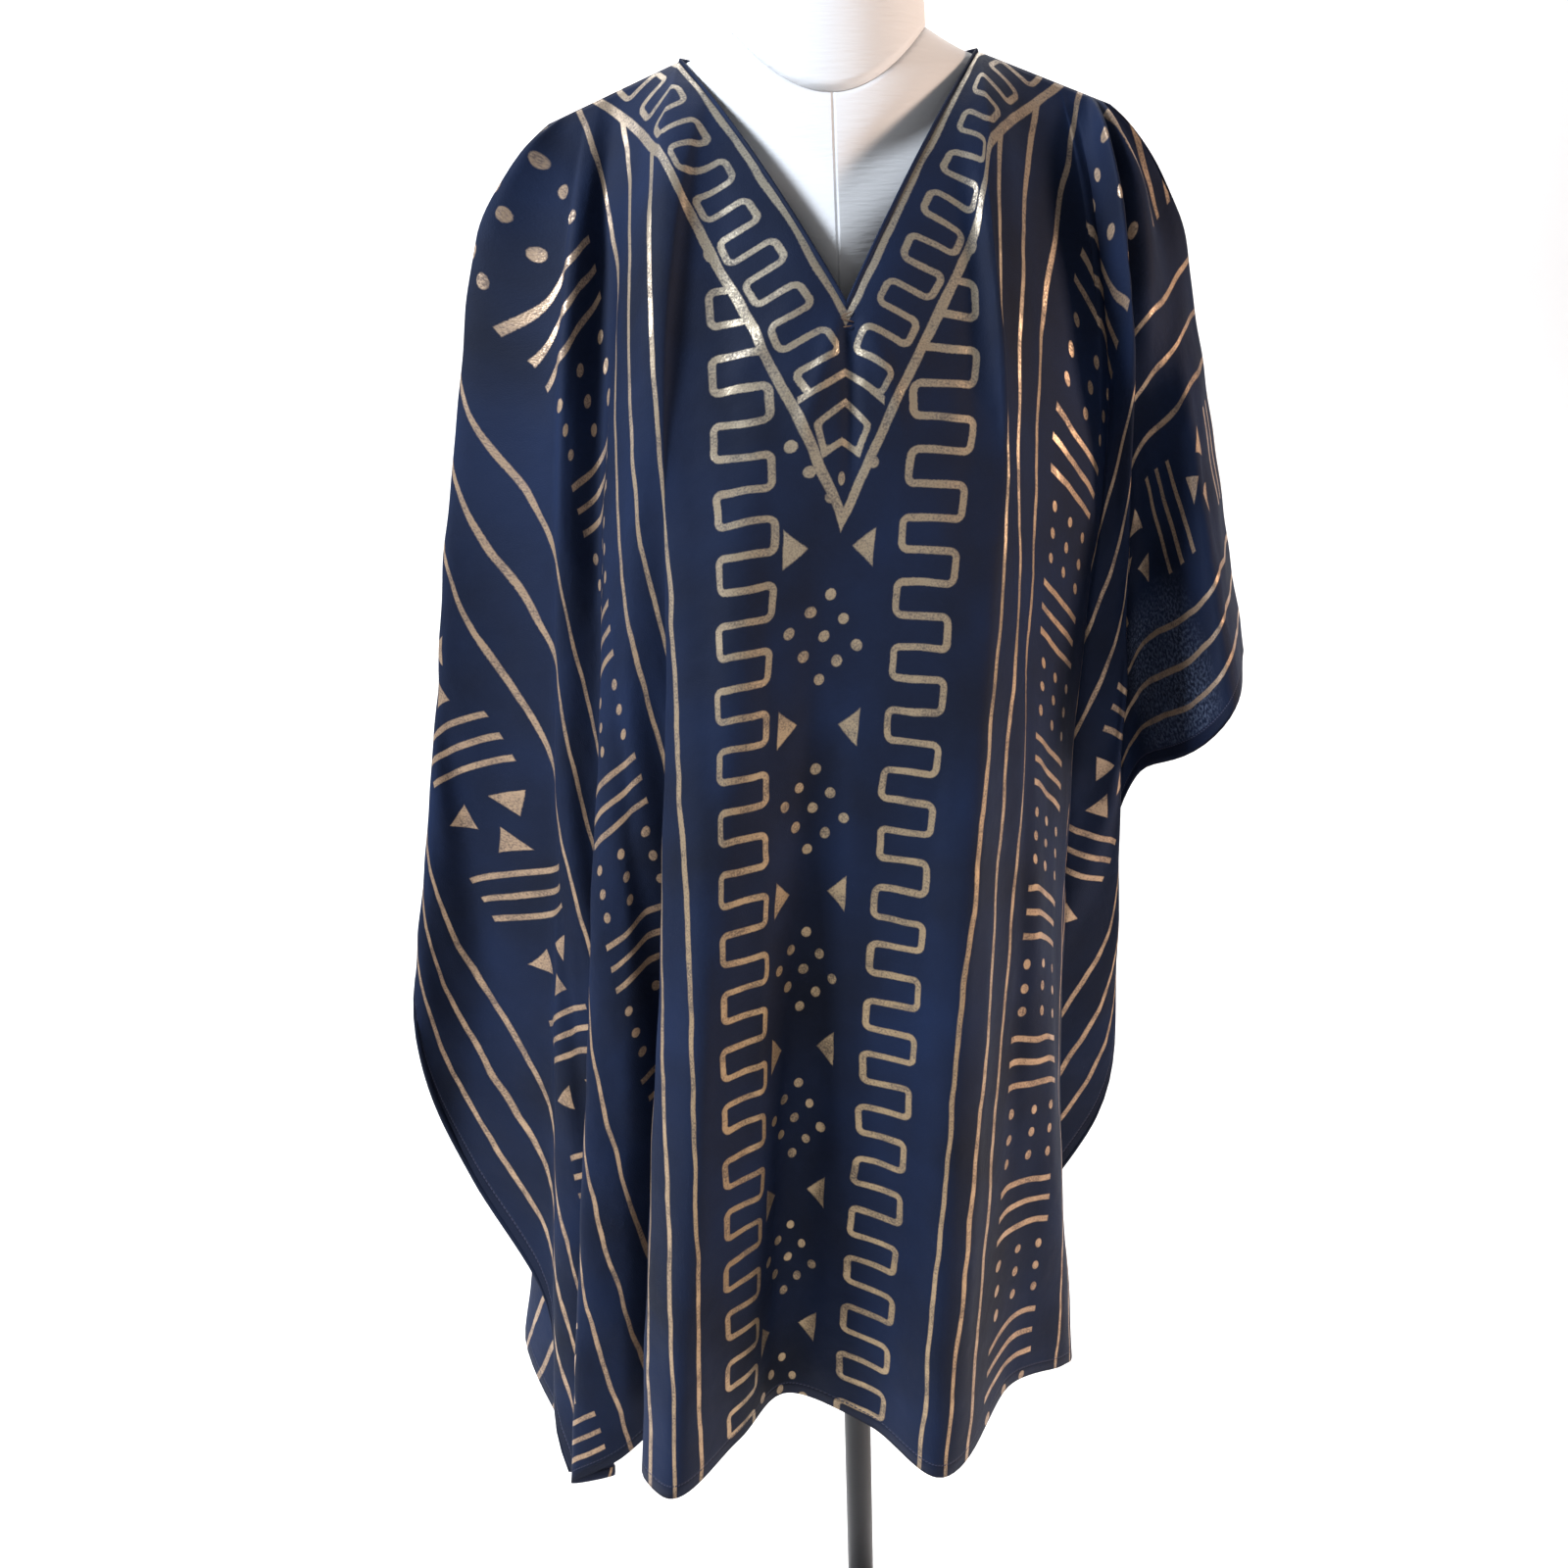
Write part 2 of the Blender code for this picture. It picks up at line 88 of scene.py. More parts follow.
CLOTH = 0.0004
STEEPEST = 0.95  # most plan slope with which the cloth leaves the shoulder
LEAST_FALL = 0.03  # least square of the cloth's fall for its length
HOLD_ROWS = 8  # rows below the shoulder and neckline over which the creases set in
HOLD_EDGE = 0.03  # width beside the other edges over which they set in
HEM_SHARE = 0.3  # share of them that is left at the hem
SLACK = 1e-6  # for comparing distances round the edge
FINE_ACROSS = 5  # columns for each cut of the tables
ROWS_OVER = 32
STEPS_A_ROW = 3
ROWS_DOWN = 72
TURN = ((0.0006, 0.0009), (0.0040, 0.0013), (0.0095, 0.0012))  # turned edge: up from it, inside it
NECK_ROLL = (0.0017, 0.0011)  # half height and half thickness of the neck edge
NECK_STEPS = 180  # steps along it
NECK_SIDES = 12  # sides round it


class Panel(Enum):
    """The kaftan's two pieces of cloth."""

    FRONT = "front"
    BACK = "back"


@dataclass(frozen=True)
class Line:
    """One line of the cloth, from the shoulder over a chest point to the edge.

    top is where it starts on the shoulder line or neckline (flat s). chest_s and chest_t are its
    flat chest point, chest_x and chest_y that point's place. edge is the distance round the edge
    from the middle of the hem, left negative, and edge_x and edge_y that point's place. cuts
    counts the coarse columns from this line to the next.
    """

    name: str
    top: float
    chest_s: float
    chest_t: float
    chest_x: float
    chest_y: float
    edge: float
    edge_x: float
    edge_y: float
    cuts: int


FRONT_LINES = (
    Line("left top fold", -0.185, -0.280, 0.000, -0.227, 0.014, -1.505, -0.290, 0.090, 2),
    Line("left cuff fold", -0.1815, -0.288, 0.037, -0.222, -0.004, -1.375, -0.276, 0.056, 2),
    Line("left underarm", -0.178, -0.282, 0.070, -0.224, -0.020, -1.240, -0.268, 0.030, 3),
    Line("left wing fold", -0.172, -0.276, 0.131, -0.231, -0.039, -0.970, -0.323, -0.030, 3),
    Line("left wing", -0.165, -0.309, 0.228, -0.205, -0.052, -0.820, -0.297, -0.012, 2),
    Line("left wing low", -0.159, -0.315, 0.270, -0.192, -0.060, -0.730, -0.250, -0.030, 2),
    Line("left corner", -0.150, -0.300, 0.310, -0.180, -0.070, -0.560, -0.235, -0.060, 2),
    Line("left side valley", -0.139, -0.262, 0.330, -0.160, -0.068, -0.490, -0.195, -0.088, 2),
    Line("left side ridge", -0.125, -0.205, 0.330, -0.155, -0.090, -0.435, -0.222, -0.125, 3),
    Line("left side panel", -0.102, -0.157, 0.320, -0.137, -0.104, -0.370, -0.180, -0.130, 3),
    Line("left hidden valley", -0.080, -0.118, 0.310, -0.113, -0.110, -0.280, -0.120, -0.090, 3),
    Line("left front edge", -0.060, -0.092, 0.300, -0.095, -0.118, -0.175, -0.157, -0.200, 2),
    Line("left front ridge", -0.045, -0.070, 0.300, -0.075, -0.124, -0.150, -0.141, -0.226, 3),
    Line("left front slope", -0.022, -0.036, 0.305, -0.040, -0.126, -0.070, -0.092, -0.178, 3),
    Line("centre valley", 0.000, 0.000, 0.310, -0.003, -0.126, 0.000, -0.056, -0.132, 3),
    Line("right front slope", 0.025, 0.045, 0.310, 0.038, -0.126, 0.065, 0.002, -0.165, 3),
    Line("right front ridge", 0.050, 0.085, 0.310, 0.078, -0.123, 0.128, 0.044, -0.214, 3),
    Line("right front panel", 0.075, 0.115, 0.320, 0.099, -0.115, 0.230, 0.109, -0.110, 3),
    Line("right front edge", 0.097, 0.140, 0.330, 0.109, -0.101, 0.335, 0.166, -0.060, 1),
    Line("right hidden valley", 0.108, 0.163, 0.330, 0.118, -0.092, 0.365, 0.171, -0.036, 2),
    Line("right side ridge", 0.132, 0.236, 0.310, 0.148, -0.058, 0.410, 0.168, 0.004, 2),
    Line("right corner", 0.150, 0.296, 0.279, 0.166, -0.030, 0.560, 0.105, 0.085, 2),
    Line("right wing low", 0.159, 0.303, 0.243, 0.173, -0.034, 0.730, 0.162, 0.064, 2),
    Line("right wing", 0.165, 0.305, 0.219, 0.179, -0.041, 0.820, 0.205, 0.055, 2),
    Line("right shoulder ridge", 0.171, 0.311, 0.168, 0.186, -0.056, 1.005, 0.208, 0.035, 2),
    Line("right shoulder valley", 0.1745, 0.312, 0.127, 0.184, -0.036, 1.130, 0.200, 0.027, 2),
    Line("right underarm", 0.178, 0.3075, 0.0866, 0.200, -0.038, 1.240, 0.214, 0.000, 2),
    Line("right cuff fold", 0.1815, 0.308, 0.0426, 0.218, -0.022, 1.375, 0.246, -0.100, 2),
    Line("right top fold", 0.185, 0.295, 0.000, 0.230, 0.000, 1.505, 0.280, -0.010, 0),
)

BACK_LINES = (
    Line("left top fold", -0.185, -0.280, 0.000, -0.227, 0.014, -1.505, -0.290, 0.090, 2),
    Line("left cuff fold", -0.1815, -0.288, 0.037, -0.216, 0.032, -1.375, -0.250, 0.115, 2),
    Line("left underarm", -0.178, -0.282, 0.070, -0.210, 0.028, -1.240, -0.268, 0.030, 3),
    Line("left wing fold", -0.172, -0.356, 0.246, -0.208, 0.000, -0.970, -0.323, -0.030, 3),
    Line("left wing", -0.165, -0.309, 0.228, -0.198, 0.030, -0.820, -0.297, -0.012, 2),
    Line("left wing low", -0.159, -0.315, 0.270, -0.190, 0.055, -0.730, -0.250, -0.030, 2),
    Line("left corner", -0.150, -0.285, 0.310, -0.182, 0.078, -0.560, -0.235, -0.060, 2),
    Line("left back ridge", -0.132, -0.220, 0.310, -0.162, 0.098, -0.450, -0.277, 0.040, 3),
    Line("left back valley", -0.108, -0.168, 0.300, -0.132, 0.100, -0.355, -0.200, 0.092, 3),
    Line("left blade ridge", -0.085, -0.112, 0.290, -0.100, 0.108, -0.235, -0.170, 0.200, 3),
    Line("left blade valley", -0.050, -0.060, 0.280, -0.055, 0.108, -0.120, -0.085, 0.140, 3),
    Line("centre back ridge", 0.000, 0.000, 0.280, 0.000, 0.108, 0.000, -0.012, 0.208, 3),
    Line("right blade valley", 0.045, 0.055, 0.280, 0.050, 0.108, 0.100, 0.055, 0.138, 3),
    Line("right blade ridge", 0.080, 0.102, 0.290, 0.092, 0.108, 0.195, 0.100, 0.214, 3),
    Line("right back valley", 0.099, 0.150, 0.300, 0.122, 0.102, 0.285, 0.148, 0.146, 3),
    Line("right back ridge", 0.116, 0.195, 0.310, 0.147, 0.098, 0.365, 0.186, 0.198, 3),
    Line("right back side", 0.134, 0.238, 0.310, 0.164, 0.090, 0.455, 0.168, 0.140, 2),
    Line("right corner", 0.150, 0.296, 0.279, 0.180, 0.082, 0.560, 0.105, 0.085, 2),
    Line("right wing low", 0.159, 0.303, 0.243, 0.190, 0.076, 0.730, 0.162, 0.064, 2),
    Line("right wing", 0.165, 0.305, 0.219, 0.198, 0.070, 0.820, 0.205, 0.055, 2),
    Line("right shoulder ridge", 0.171, 0.311, 0.168, 0.210, 0.060, 1.005, 0.208, 0.035, 2),
    Line("right shoulder valley", 0.1745, 0.312, 0.127, 0.217, 0.050, 1.130, 0.200, 0.027, 2),
    Line("right underarm", 0.178, 0.3075, 0.0866, 0.222, 0.040, 1.240, 0.214, 0.000, 2),
    Line("right cuff fold", 0.1815, 0.308, 0.0426, 0.227, 0.022, 1.375, 0.286, 0.078, 2),
    Line("right top fold", 0.185, 0.295, 0.000, 0.230, 0.000, 1.505, 0.280, -0.010, 0),
)


@dataclass(frozen=True)
class Crease:
    """A soft ridge (height above 0) or trough (below 0) of the cloth.

    It runs straight from (s0, t0) to (s1, t1) on the flat cloth and fades at both ends.
    """

    s0: float
    t0: float
    s1: float
    t1: float
    height: float
    width: float


FRONT_CREASES = (
    # From the shoulders down the sleeves' tops.
    Crease(-0.150, 0.010, -0.265, 0.190, 0.0030, 0.012),
    Crease(-0.120, 0.015, -0.215, 0.240, -0.0030, 0.014),
    Crease(-0.215, 0.020, -0.330, 0.150, 0.0025, 0.011),
    Crease(-0.250, 0.060, -0.400, 0.240, -0.0028, 0.013),
    Crease(-0.300, 0.120, -0.420, 0.330, 0.0026, 0.012),
    Crease(-0.340, 0.100, -0.500, 0.230, -0.0022, 0.012),
    Crease(0.145, 0.012, 0.235, 0.170, 0.0028, 0.012),
    Crease(0.120, 0.020, 0.190, 0.250, -0.0030, 0.013),
    Crease(0.205, 0.015, 0.330, 0.120, 0.0024, 0.010),
    Crease(0.240, 0.060, 0.420, 0.190, -0.0026, 0.012),
    Crease(0.300, 0.120, 0.470, 0.230, 0.0024, 0.011),
    Crease(0.330, 0.040, 0.520, 0.080, -0.0022, 0.012),
    # Beside the neckline and out of its point.
    Crease(-0.070, 0.080, -0.060, 0.300, -0.0016, 0.010),
    Crease(0.072, 0.085, 0.075, 0.330, -0.0018, 0.010),
    Crease(-0.004, 0.190, -0.024, 0.262, 0.0028, 0.005),
    Crease(0.002, 0.190, 0.004, 0.290, -0.0032, 0.005),
    Crease(0.010, 0.190, 0.034, 0.256, 0.0026, 0.006),
    Crease(0.020, 0.178, 0.080, 0.232, -0.0018, 0.007),
    Crease(-0.018, 0.176, -0.066, 0.225, 0.0018, 0.007),
    # Long soft ones down the body.
    Crease(-0.012, 0.330, -0.020, 0.930, -0.0036, 0.012),
    Crease(0.020, 0.420, 0.030, 0.940, 0.0032, 0.013),
    Crease(-0.052, 0.380, -0.050, 0.820, 0.0026, 0.012),
    Crease(-0.086, 0.330, -0.088, 0.930, -0.0034, 0.013),
    Crease(0.072, 0.380, 0.080, 0.930, -0.0030, 0.012),
    Crease(0.100, 0.300, 0.112, 0.640, 0.0032, 0.010),
    Crease(0.158, 0.330, 0.205, 0.800, -0.0032, 0.010),
    Crease(0.130, 0.520, 0.150, 0.930, 0.0032, 0.010),
    Crease(-0.190, 0.360, -0.255, 0.860, -0.0040, 0.012),
    Crease(-0.145, 0.360, -0.190, 0.900, 0.0036, 0.011),
    Crease(-0.330, 0.340, -0.410, 0.820, 0.0040, 0.013),
    Crease(-0.370, 0.380, -0.440, 0.760, -0.0034, 0.012),
    Crease(-0.400, 0.300, -0.505, 0.620, -0.0036, 0.013),
    Crease(0.400, 0.300, 0.455, 0.640, 0.0034, 0.012),
    Crease(0.300, 0.380, 0.350, 0.850, -0.0032, 0.012),
    # Faint ones across, from folding and sitting.
    Crease(-0.060, 0.560, 0.030, 0.575, 0.0008, 0.006),
    Crease(-0.110, 0.690, -0.030, 0.700, -0.0008, 0.006),
    Crease(0.020, 0.745, 0.110, 0.735, 0.0008, 0.006),
    Crease(0.010, 0.500, 0.090, 0.490, -0.0007, 0.006),
)

BACK_CREASES = (
    Crease(-0.140, 0.015, -0.235, 0.230, 0.0030, 0.013),
    Crease(-0.105, 0.020, -0.160, 0.280, -0.0028, 0.014),
    Crease(-0.215, 0.030, -0.350, 0.210, -0.0026, 0.012),
    Crease(-0.300, 0.080, -0.460, 0.260, 0.0024, 0.013),
    Crease(0.140, 0.015, 0.240, 0.220, 0.0030, 0.013),
    Crease(0.105, 0.020, 0.165, 0.290, -0.0028, 0.014),
    Crease(0.215, 0.030, 0.340, 0.180, -0.0026, 0.012),
    Crease(0.300, 0.070, 0.470, 0.210, 0.0024, 0.013),
    Crease(-0.030, 0.140, -0.026, 0.620, 0.0022, 0.012),
    Crease(0.026, 0.260, 0.030, 0.930, -0.0022, 0.012),
    Crease(-0.085, 0.320, -0.100, 0.920, -0.0022, 0.012),
    Crease(0.150, 0.320, 0.190, 0.910, 0.0022, 0.012),
    Crease(-0.240, 0.340, -0.330, 0.900, 0.0024, 0.013),
    Crease(0.330, 0.340, 0.400, 0.860, -0.0022, 0.013),
    Crease(-0.400, 0.330, -0.500, 0.700, -0.0022, 0.013),
)


@dataclass(frozen=True)
class Ring:
    """A ring of the dress form, with its heights and sizes at the sides, front and back."""

    side_z: float
    half_width: float
    front_z: float
    front: float
    back_z: float
    back: float
    fullness: float


FORM_RINGS = (
    Ring(1.4130, 0.060, 1.373, 0.054, 1.400, 0.050, 2.00),
    Ring(1.4025, 0.078, 1.352, 0.060, 1.378, 0.055, 1.60),
    Ring(1.3925, 0.100, 1.325, 0.067, 1.345, 0.062, 1.15),
    Ring(1.3820, 0.125, 1.290, 0.080, 1.305, 0.075, 1.15),
    Ring(1.3726, 0.148, 1.250, 0.084, 1.265, 0.084, 1.10),
    Ring(1.3640, 0.158, 1.215, 0.092, 1.225, 0.090, 1.12),
    Ring(1.3450, 0.160, 1.180, 0.104, 1.190, 0.094, 1.30),
    Ring(1.2950, 0.157, 1.150, 0.108, 1.155, 0.095, 1.50),
    Ring(1.2300, 0.150, 1.115, 0.108, 1.115, 0.092, 1.80),
    Ring(1.1600, 0.144, 1.075, 0.105, 1.075, 0.088, 2.00),
    Ring(1.0850, 0.138, 1.025, 0.098, 1.025, 0.083, 2.00),
    Ring(1.0050, 0.128, 0.970, 0.090, 0.970, 0.079, 2.00),
    Ring(0.9250, 0.112, 0.915, 0.082, 0.915, 0.076, 2.00),
    Ring(0.8750, 0.118, 0.870, 0.083, 0.870, 0.082, 2.00),
    Ring(0.8300, 0.120, 0.830, 0.082, 0.830, 0.083, 2.00),
    Ring(0.8060, 0.112, 0.806, 0.076, 0.806, 0.077, 2.00),
    Ring(0.8000, 0.098, 0.800, 0.066, 0.800, 0.067, 2.00),
)

NECK_TOP = 1.480
POLE_RADIUS = 0.011
BASE_RADIUS = 0.145
BASE_HEIGHT = 0.012
GAP = 0.0006  # between two pieces that are seated on each other


def hermite(knots: np.ndarray, values: np.ndarray, at: np.ndarray) -> np.ndarray:
    """Cubic through the knots, with the slope at each knot from its two neighbours.

    Args:
        knots: Rising places of the known values.
        values: The known values.
        at: Places to work out.

    Returns:
        The values there.
    """
    steps = np.diff(knots)
    chords = np.diff(values) / steps
    slopes = np.empty_like(values)
    slopes[1:-1] = (chords[:-1] * steps[1:] + chords[1:] * steps[:-1]) / (steps[:-1] + steps[1:])
    slopes[0] = chords[0]
    slopes[-1] = chords[-1]
    index = np.clip(np.searchsorted(knots, at, side="right") - 1, 0, len(knots) - 2)
    width = steps[index]
    u = (at - knots[index]) / width
    low, high = values[index], values[index + 1]
    return (
        low * (1 + 2 * u) * (1 - u) ** 2
        + high * u**2 * (3 - 2 * u)
        + slopes[index] * width * u * (1 - u) ** 2
        + slopes[index + 1] * width * u**2 * (u - 1)
    )


def table_curves(
    rows: tuple[Line | Ring, ...], names: tuple[str, ...], knots: np.ndarray, at: np.ndarray
) -> dict[str, np.ndarray]:
    """Smooth curves through the fields of a table.

    Args:
        rows: The table.
        names: The fields.
        knots: Rising place of each row.
        at: Places to work out.

    Returns:
        The values there, by field.
    """
    table = {name: np.array([getattr(row, name) for row in rows]) for name in names}
    return {name: hermite(knots, values, at) for name, values in table.items()}


def smooth(values: np.ndarray, low: float, high: float) -> np.ndarray:
    """0 below low, 1 above high, and an even S-shaped rise between them."""
    u = np.clip((values - low) / (high - low), 0.0, 1.0)
    return u * u * (3 - 2 * u)


def fall(lean: np.ndarray) -> np.ndarray:
    """Drop of the cloth for its length, sqrt(1 - lean^2), where lean is its plan slope."""
    return np.sqrt(np.maximum(1.0 - (lean**2).sum(axis=-1), LEAST_FALL))


def grid_normals(points: np.ndarray) -> np.ndarray:
    """Unit normals of a grid of points: d(points)/d(row) cross d(points)/d(column).

    Args:
        points: Grid of places, [column, row, 3].

    Returns:
        Unit normals, the same shape.
    """
    across = np.gradient(points, axis=0)
    down = np.gradient(points, axis=1)
    normals = np.cross(down, across)
    return normals / np.maximum(np.linalg.norm(normals, axis=2, keepdims=True), 1e-12)


def grid_mesh(
    name: str, points: np.ndarray, flats: np.ndarray | None = None, around: bool = False
) -> bpy.types.Object:
    """A mesh of quads through a grid of points.

    Args:
        name: Name of the object.
        points: Grid of places, [column, row, 3], or several such grids [grid, column, row, 3].
            Its faces look along down cross across.
        flats: Flat places of the same grid, kept as the mesh's UV, or None.
        around: Whether the last column joins the first.

    Returns:
        The linked object, smooth shaded.
    """
    across, down = points.shape[-3:-1]
    sheets = points.size // (3 * across * down)
    first = np.arange(across if around else across - 1)
    sheet, column, row = np.meshgrid(
        np.arange(sheets) * across * down, first, np.arange(down - 1), indexing="ij"
    )
    here = sheet + column * down + row
    aside = sheet + (column + 1) % across * down + row
    quads = np.stack([here, here + 1, aside + 1, aside], axis=-1).reshape(-1, 4)
    mesh = bpy.data.meshes.new(name)
    mesh.from_pydata(points.reshape(-1, 3), [], quads)
    if flats is not None:
        layer = mesh.uv_layers.new(name="flat")
        layer.data.foreach_set("uv", flats.reshape(-1, 2)[quads.ravel()].ravel())
    mesh.polygons.foreach_set("use_smooth", np.ones(len(quads), dtype=bool))
    mesh.update()
    obj = bpy.data.objects.new(name, mesh)
    bpy.context.scene.collection.objects.link(obj)
    return obj


def triangles(obj: bpy.types.Object) -> int:
    """How many triangles the finished piece has, modifiers included."""
    seen = obj.evaluated_get(bpy.context.evaluated_depsgraph_get()).to_mesh()
    return sum(len(face.vertices) - 2 for face in seen.polygons)


def dress(
    obj: bpy.types.Object, materials: list[bpy.types.Material], node: str | None = None
) -> bpy.types.Object:
    """Gives a finished piece its materials and body, hides the solid that it stands for, and logs
    its triangles.

    Args:
        obj: The piece.
        materials: Its materials, in the order of its material slots.
        node: The solid that it stands for, or None.

    Returns:
        The piece.
    """
    for material in materials:
        obj.data.materials.append(material)
    if node is not None:
        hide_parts(node)
    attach(obj, "root")
    log.info("%s: %d triangles", obj.name, triangles(obj))
    return obj


@dataclass(frozen=True)
class Drape:
    """The hang of one panel, from its table of lines.

    Each column curves over the shoulder as far as the chest point and hangs straight from there
    to the edge. Its height falls by what its flat length leaves over.
    """

    panel: Panel
    lines: tuple[Line, ...]
    creases: tuple[Crease, ...]

    def columns(self) -> dict[str, np.ndarray]:
        """The table's values at every column, each a smooth curve through its lines.

        Returns:
            One array for each field of the table, by name.
        """
        knots = np.array([line.edge for line in self.lines])
        cuts = np.array([line.cuts for line in self.lines]) * FINE_ACROSS
        place = np.concatenate([[0], np.cumsum(cuts[:-1])])
        at = np.interp(np.arange(place[-1] + 1), place, knots)
        names = ("top", "chest_s", "chest_t", "chest_x", "chest_y", "edge_x", "edge_y")
        found = table_curves(self.lines, names, knots, at)
        found["top"] = np.clip(found["top"], -TIP_S, TIP_S)
        found["chest_t"] = np.maximum(found["chest_t"], 0.0)
        found["edge"] = at
        return found

    def starts(self, top: np.ndarray) -> tuple[np.ndarray, np.ndarray]:
        """Flat t and worn place of points of the shoulder line and the neckline.

        Args:
            top: Flat s of the points.

        Returns:
            Their flat t, and their places [point, 3].
        """
        side = np.where(top < 0, -1.0, 1.0)
        away = np.abs(top)
        over = np.clip(away / NECK_HALF, 0.0, 1.0)[:, None]
        mirror = np.stack([side, np.ones_like(side), np.ones_like(side)], axis=1)
        if self.panel is Panel.FRONT:
            t = V_DEPTH * (1.0 - over[:, 0])
            bow = np.array([0.0, -V_BULGE, V_LIFT]) * 4.0 * over * (1.0 - over)
            neck = V_BOTTOM * (1.0 - over) + NECK_POINT * mirror * over + bow
        else:
            t = BACK_NECK_DEPTH * (1.0 - over[:, 0] ** 2)
            across = side[:, None] * NECK_POINT[0] * over
            behind = BACK_NECK[1] * (1.0 - over**2)
            height = BACK_NECK[2] + (NECK_POINT[2] - BACK_NECK[2]) * over**2
            neck = np.hstack([across, behind, height])
        along = np.clip((away - NECK_HALF) / (TIP_S - NECK_HALF), 0.0, 1.0)[:, None]
        shoulder = (NECK_POINT * (1.0 - along) + TIP * along) * mirror
        on_neck = away < NECK_HALF
        return np.where(on_neck, t, 0.0), np.where(on_neck[:, None], neck, shoulder)

    def surface(self) -> tuple[np.ndarray, np.ndarray, np.ndarray]:
        """The panel without creases.

        With u the share of the way to the chest point, the plan place is the cubic with the
        slopes leave and hang at its ends. The height drops by the fall of each step of flat
        length.

        Returns:
            Places [column, row, 3], flat places [column, row, 2], and distances round the edge.
        """
        column = self.columns()
        start_t, start = self.starts(column["top"])
        away = np.abs(column["edge"])
        edge_s = np.sign(column["edge"]) * np.minimum(away, HALF_WIDTH)
        edge_t = np.clip(LENGTH + HALF_WIDTH - away, 0.0, LENGTH)
        start_flat = np.stack([column["top"], start_t], axis=1)
        chest_flat = np.stack([column["chest_s"], column["chest_t"]], axis=1)
        edge_flat = np.stack([edge_s, edge_t], axis=1)
        over = np.linalg.norm(chest_flat - start_flat, axis=1)[:, None]
        down = np.linalg.norm(edge_flat - chest_flat, axis=1)[:, None]
        chest = np.stack([column["chest_x"], column["chest_y"]], axis=1)
        edge = np.stack([column["edge_x"], column["edge_y"]], axis=1)
        steep = (chest - start[:, :2]) / over
        hang = (edge - chest) / down
        leave = (2 * steep - hang) * np.array([1.0, FULL_CHEST])
        leave *= np.minimum(1.0, STEEPEST / np.linalg.norm(leave, axis=1))[:, None]

        u = np.linspace(0.0, 1.0, ROWS_OVER * STEPS_A_ROW + 1) ** ROW_EASE
        middle = ((u[1:] + u[:-1]) / 2)[:, None, None]
        lean = (1 - 4 * middle + 3 * middle**2) * leave + (3 * middle**2 - 2 * middle) * hang
        lean = lean + 6 * middle * (1 - middle) * steep
        drop = np.cumsum(fall(lean) * over[:, 0] * np.diff(u)[:, None], axis=0)
        drop = np.vstack([np.zeros((1, len(start))), drop])[::STEPS_A_ROW].T[:, :, None]
        u = u[::STEPS_A_ROW][None, :, None]
        bend = u * (1 - u) ** 2 * leave[:, None] - u**2 * (1 - u) * hang[:, None]
        plan = start[:, None, :2] + (chest - start[:, :2])[:, None] * u**2 * (3 - 2 * u)
        upper = np.concatenate([plan + bend * over[:, None], start[:, None, 2:] - drop], axis=2)
        upper_flat = start_flat[:, None] + (chest_flat - start_flat)[:, None] * u

        v = (np.arange(1, ROWS_DOWN + 1) / ROWS_DOWN)[None, :, None]
        plan = chest[:, None] + hang[:, None] * down[:, None] * v
        height = upper[:, -1:, 2:] - fall(hang)[:, None, None] * down[:, None] * v
        lower = np.concatenate([plan, height], axis=2)
        lower_flat = chest_flat[:, None] + (edge_flat - chest_flat)[:, None] * v
        points = np.concatenate([upper, lower], axis=1)
        return points, np.concatenate([upper_flat, lower_flat], axis=1), column["edge"]

    def creased(self, points: np.ndarray, flats: np.ndarray) -> np.ndarray:
        """The places moved along their normals by the creases and a slight unevenness.

        Each crease adds height * exp(-(distance / width)^2), faded to 0 at its ends. The two
        products of sines add waves of up to 0.7 and 0.5 mm. All of it fades out at the
        shoulder line, the neckline, the cuffs and the sides, where the pieces meet, and to
        HEM_SHARE at the hem.

        Args:
            points: Places [column, row, 3].
            flats: Flat places [column, row, 2].

        Returns:
            The moved places.
        """
        height = np.zeros(points.shape[:2])
        for crease in self.creases:
            start = np.array([crease.s0, crease.t0])
            way = np.array([crease.s1, crease.t1]) - start
            share = np.clip(((flats - start) @ way) / (way @ way), 0.0, 1.0)
            distance = np.linalg.norm(flats - start - share[..., None] * way, axis=2)
            fade = np.sqrt(np.sin(np.pi * np.clip(share, 0.001, 0.999)))
            height += crease.height * np.exp(-((distance / crease.width) ** 2)) * fade
        s, t = flats[..., 0], flats[..., 1]
        height += 0.0007 * np.sin(61 * s + 17 * t) * np.sin(13 * s - 23 * t + 1.0)
        height += 0.0005 * np.sin(118 * s - 41 * t + 0.6) * np.sin(37 * t + 29 * s)
        row = np.arange(points.shape[1])
        hold = smooth(row, 0, HOLD_ROWS)[None, :] * smooth(HALF_WIDTH - np.abs(s), 0.0, HOLD_EDGE)
        hold *= HEM_SHARE + (1 - HEM_SHARE) * smooth(LENGTH - t, 0.0, HOLD_EDGE)
        outward = grid_normals(points) * (1.0 if self.panel is Panel.FRONT else -1.0)
        return points + outward * (height * hold)[..., None]


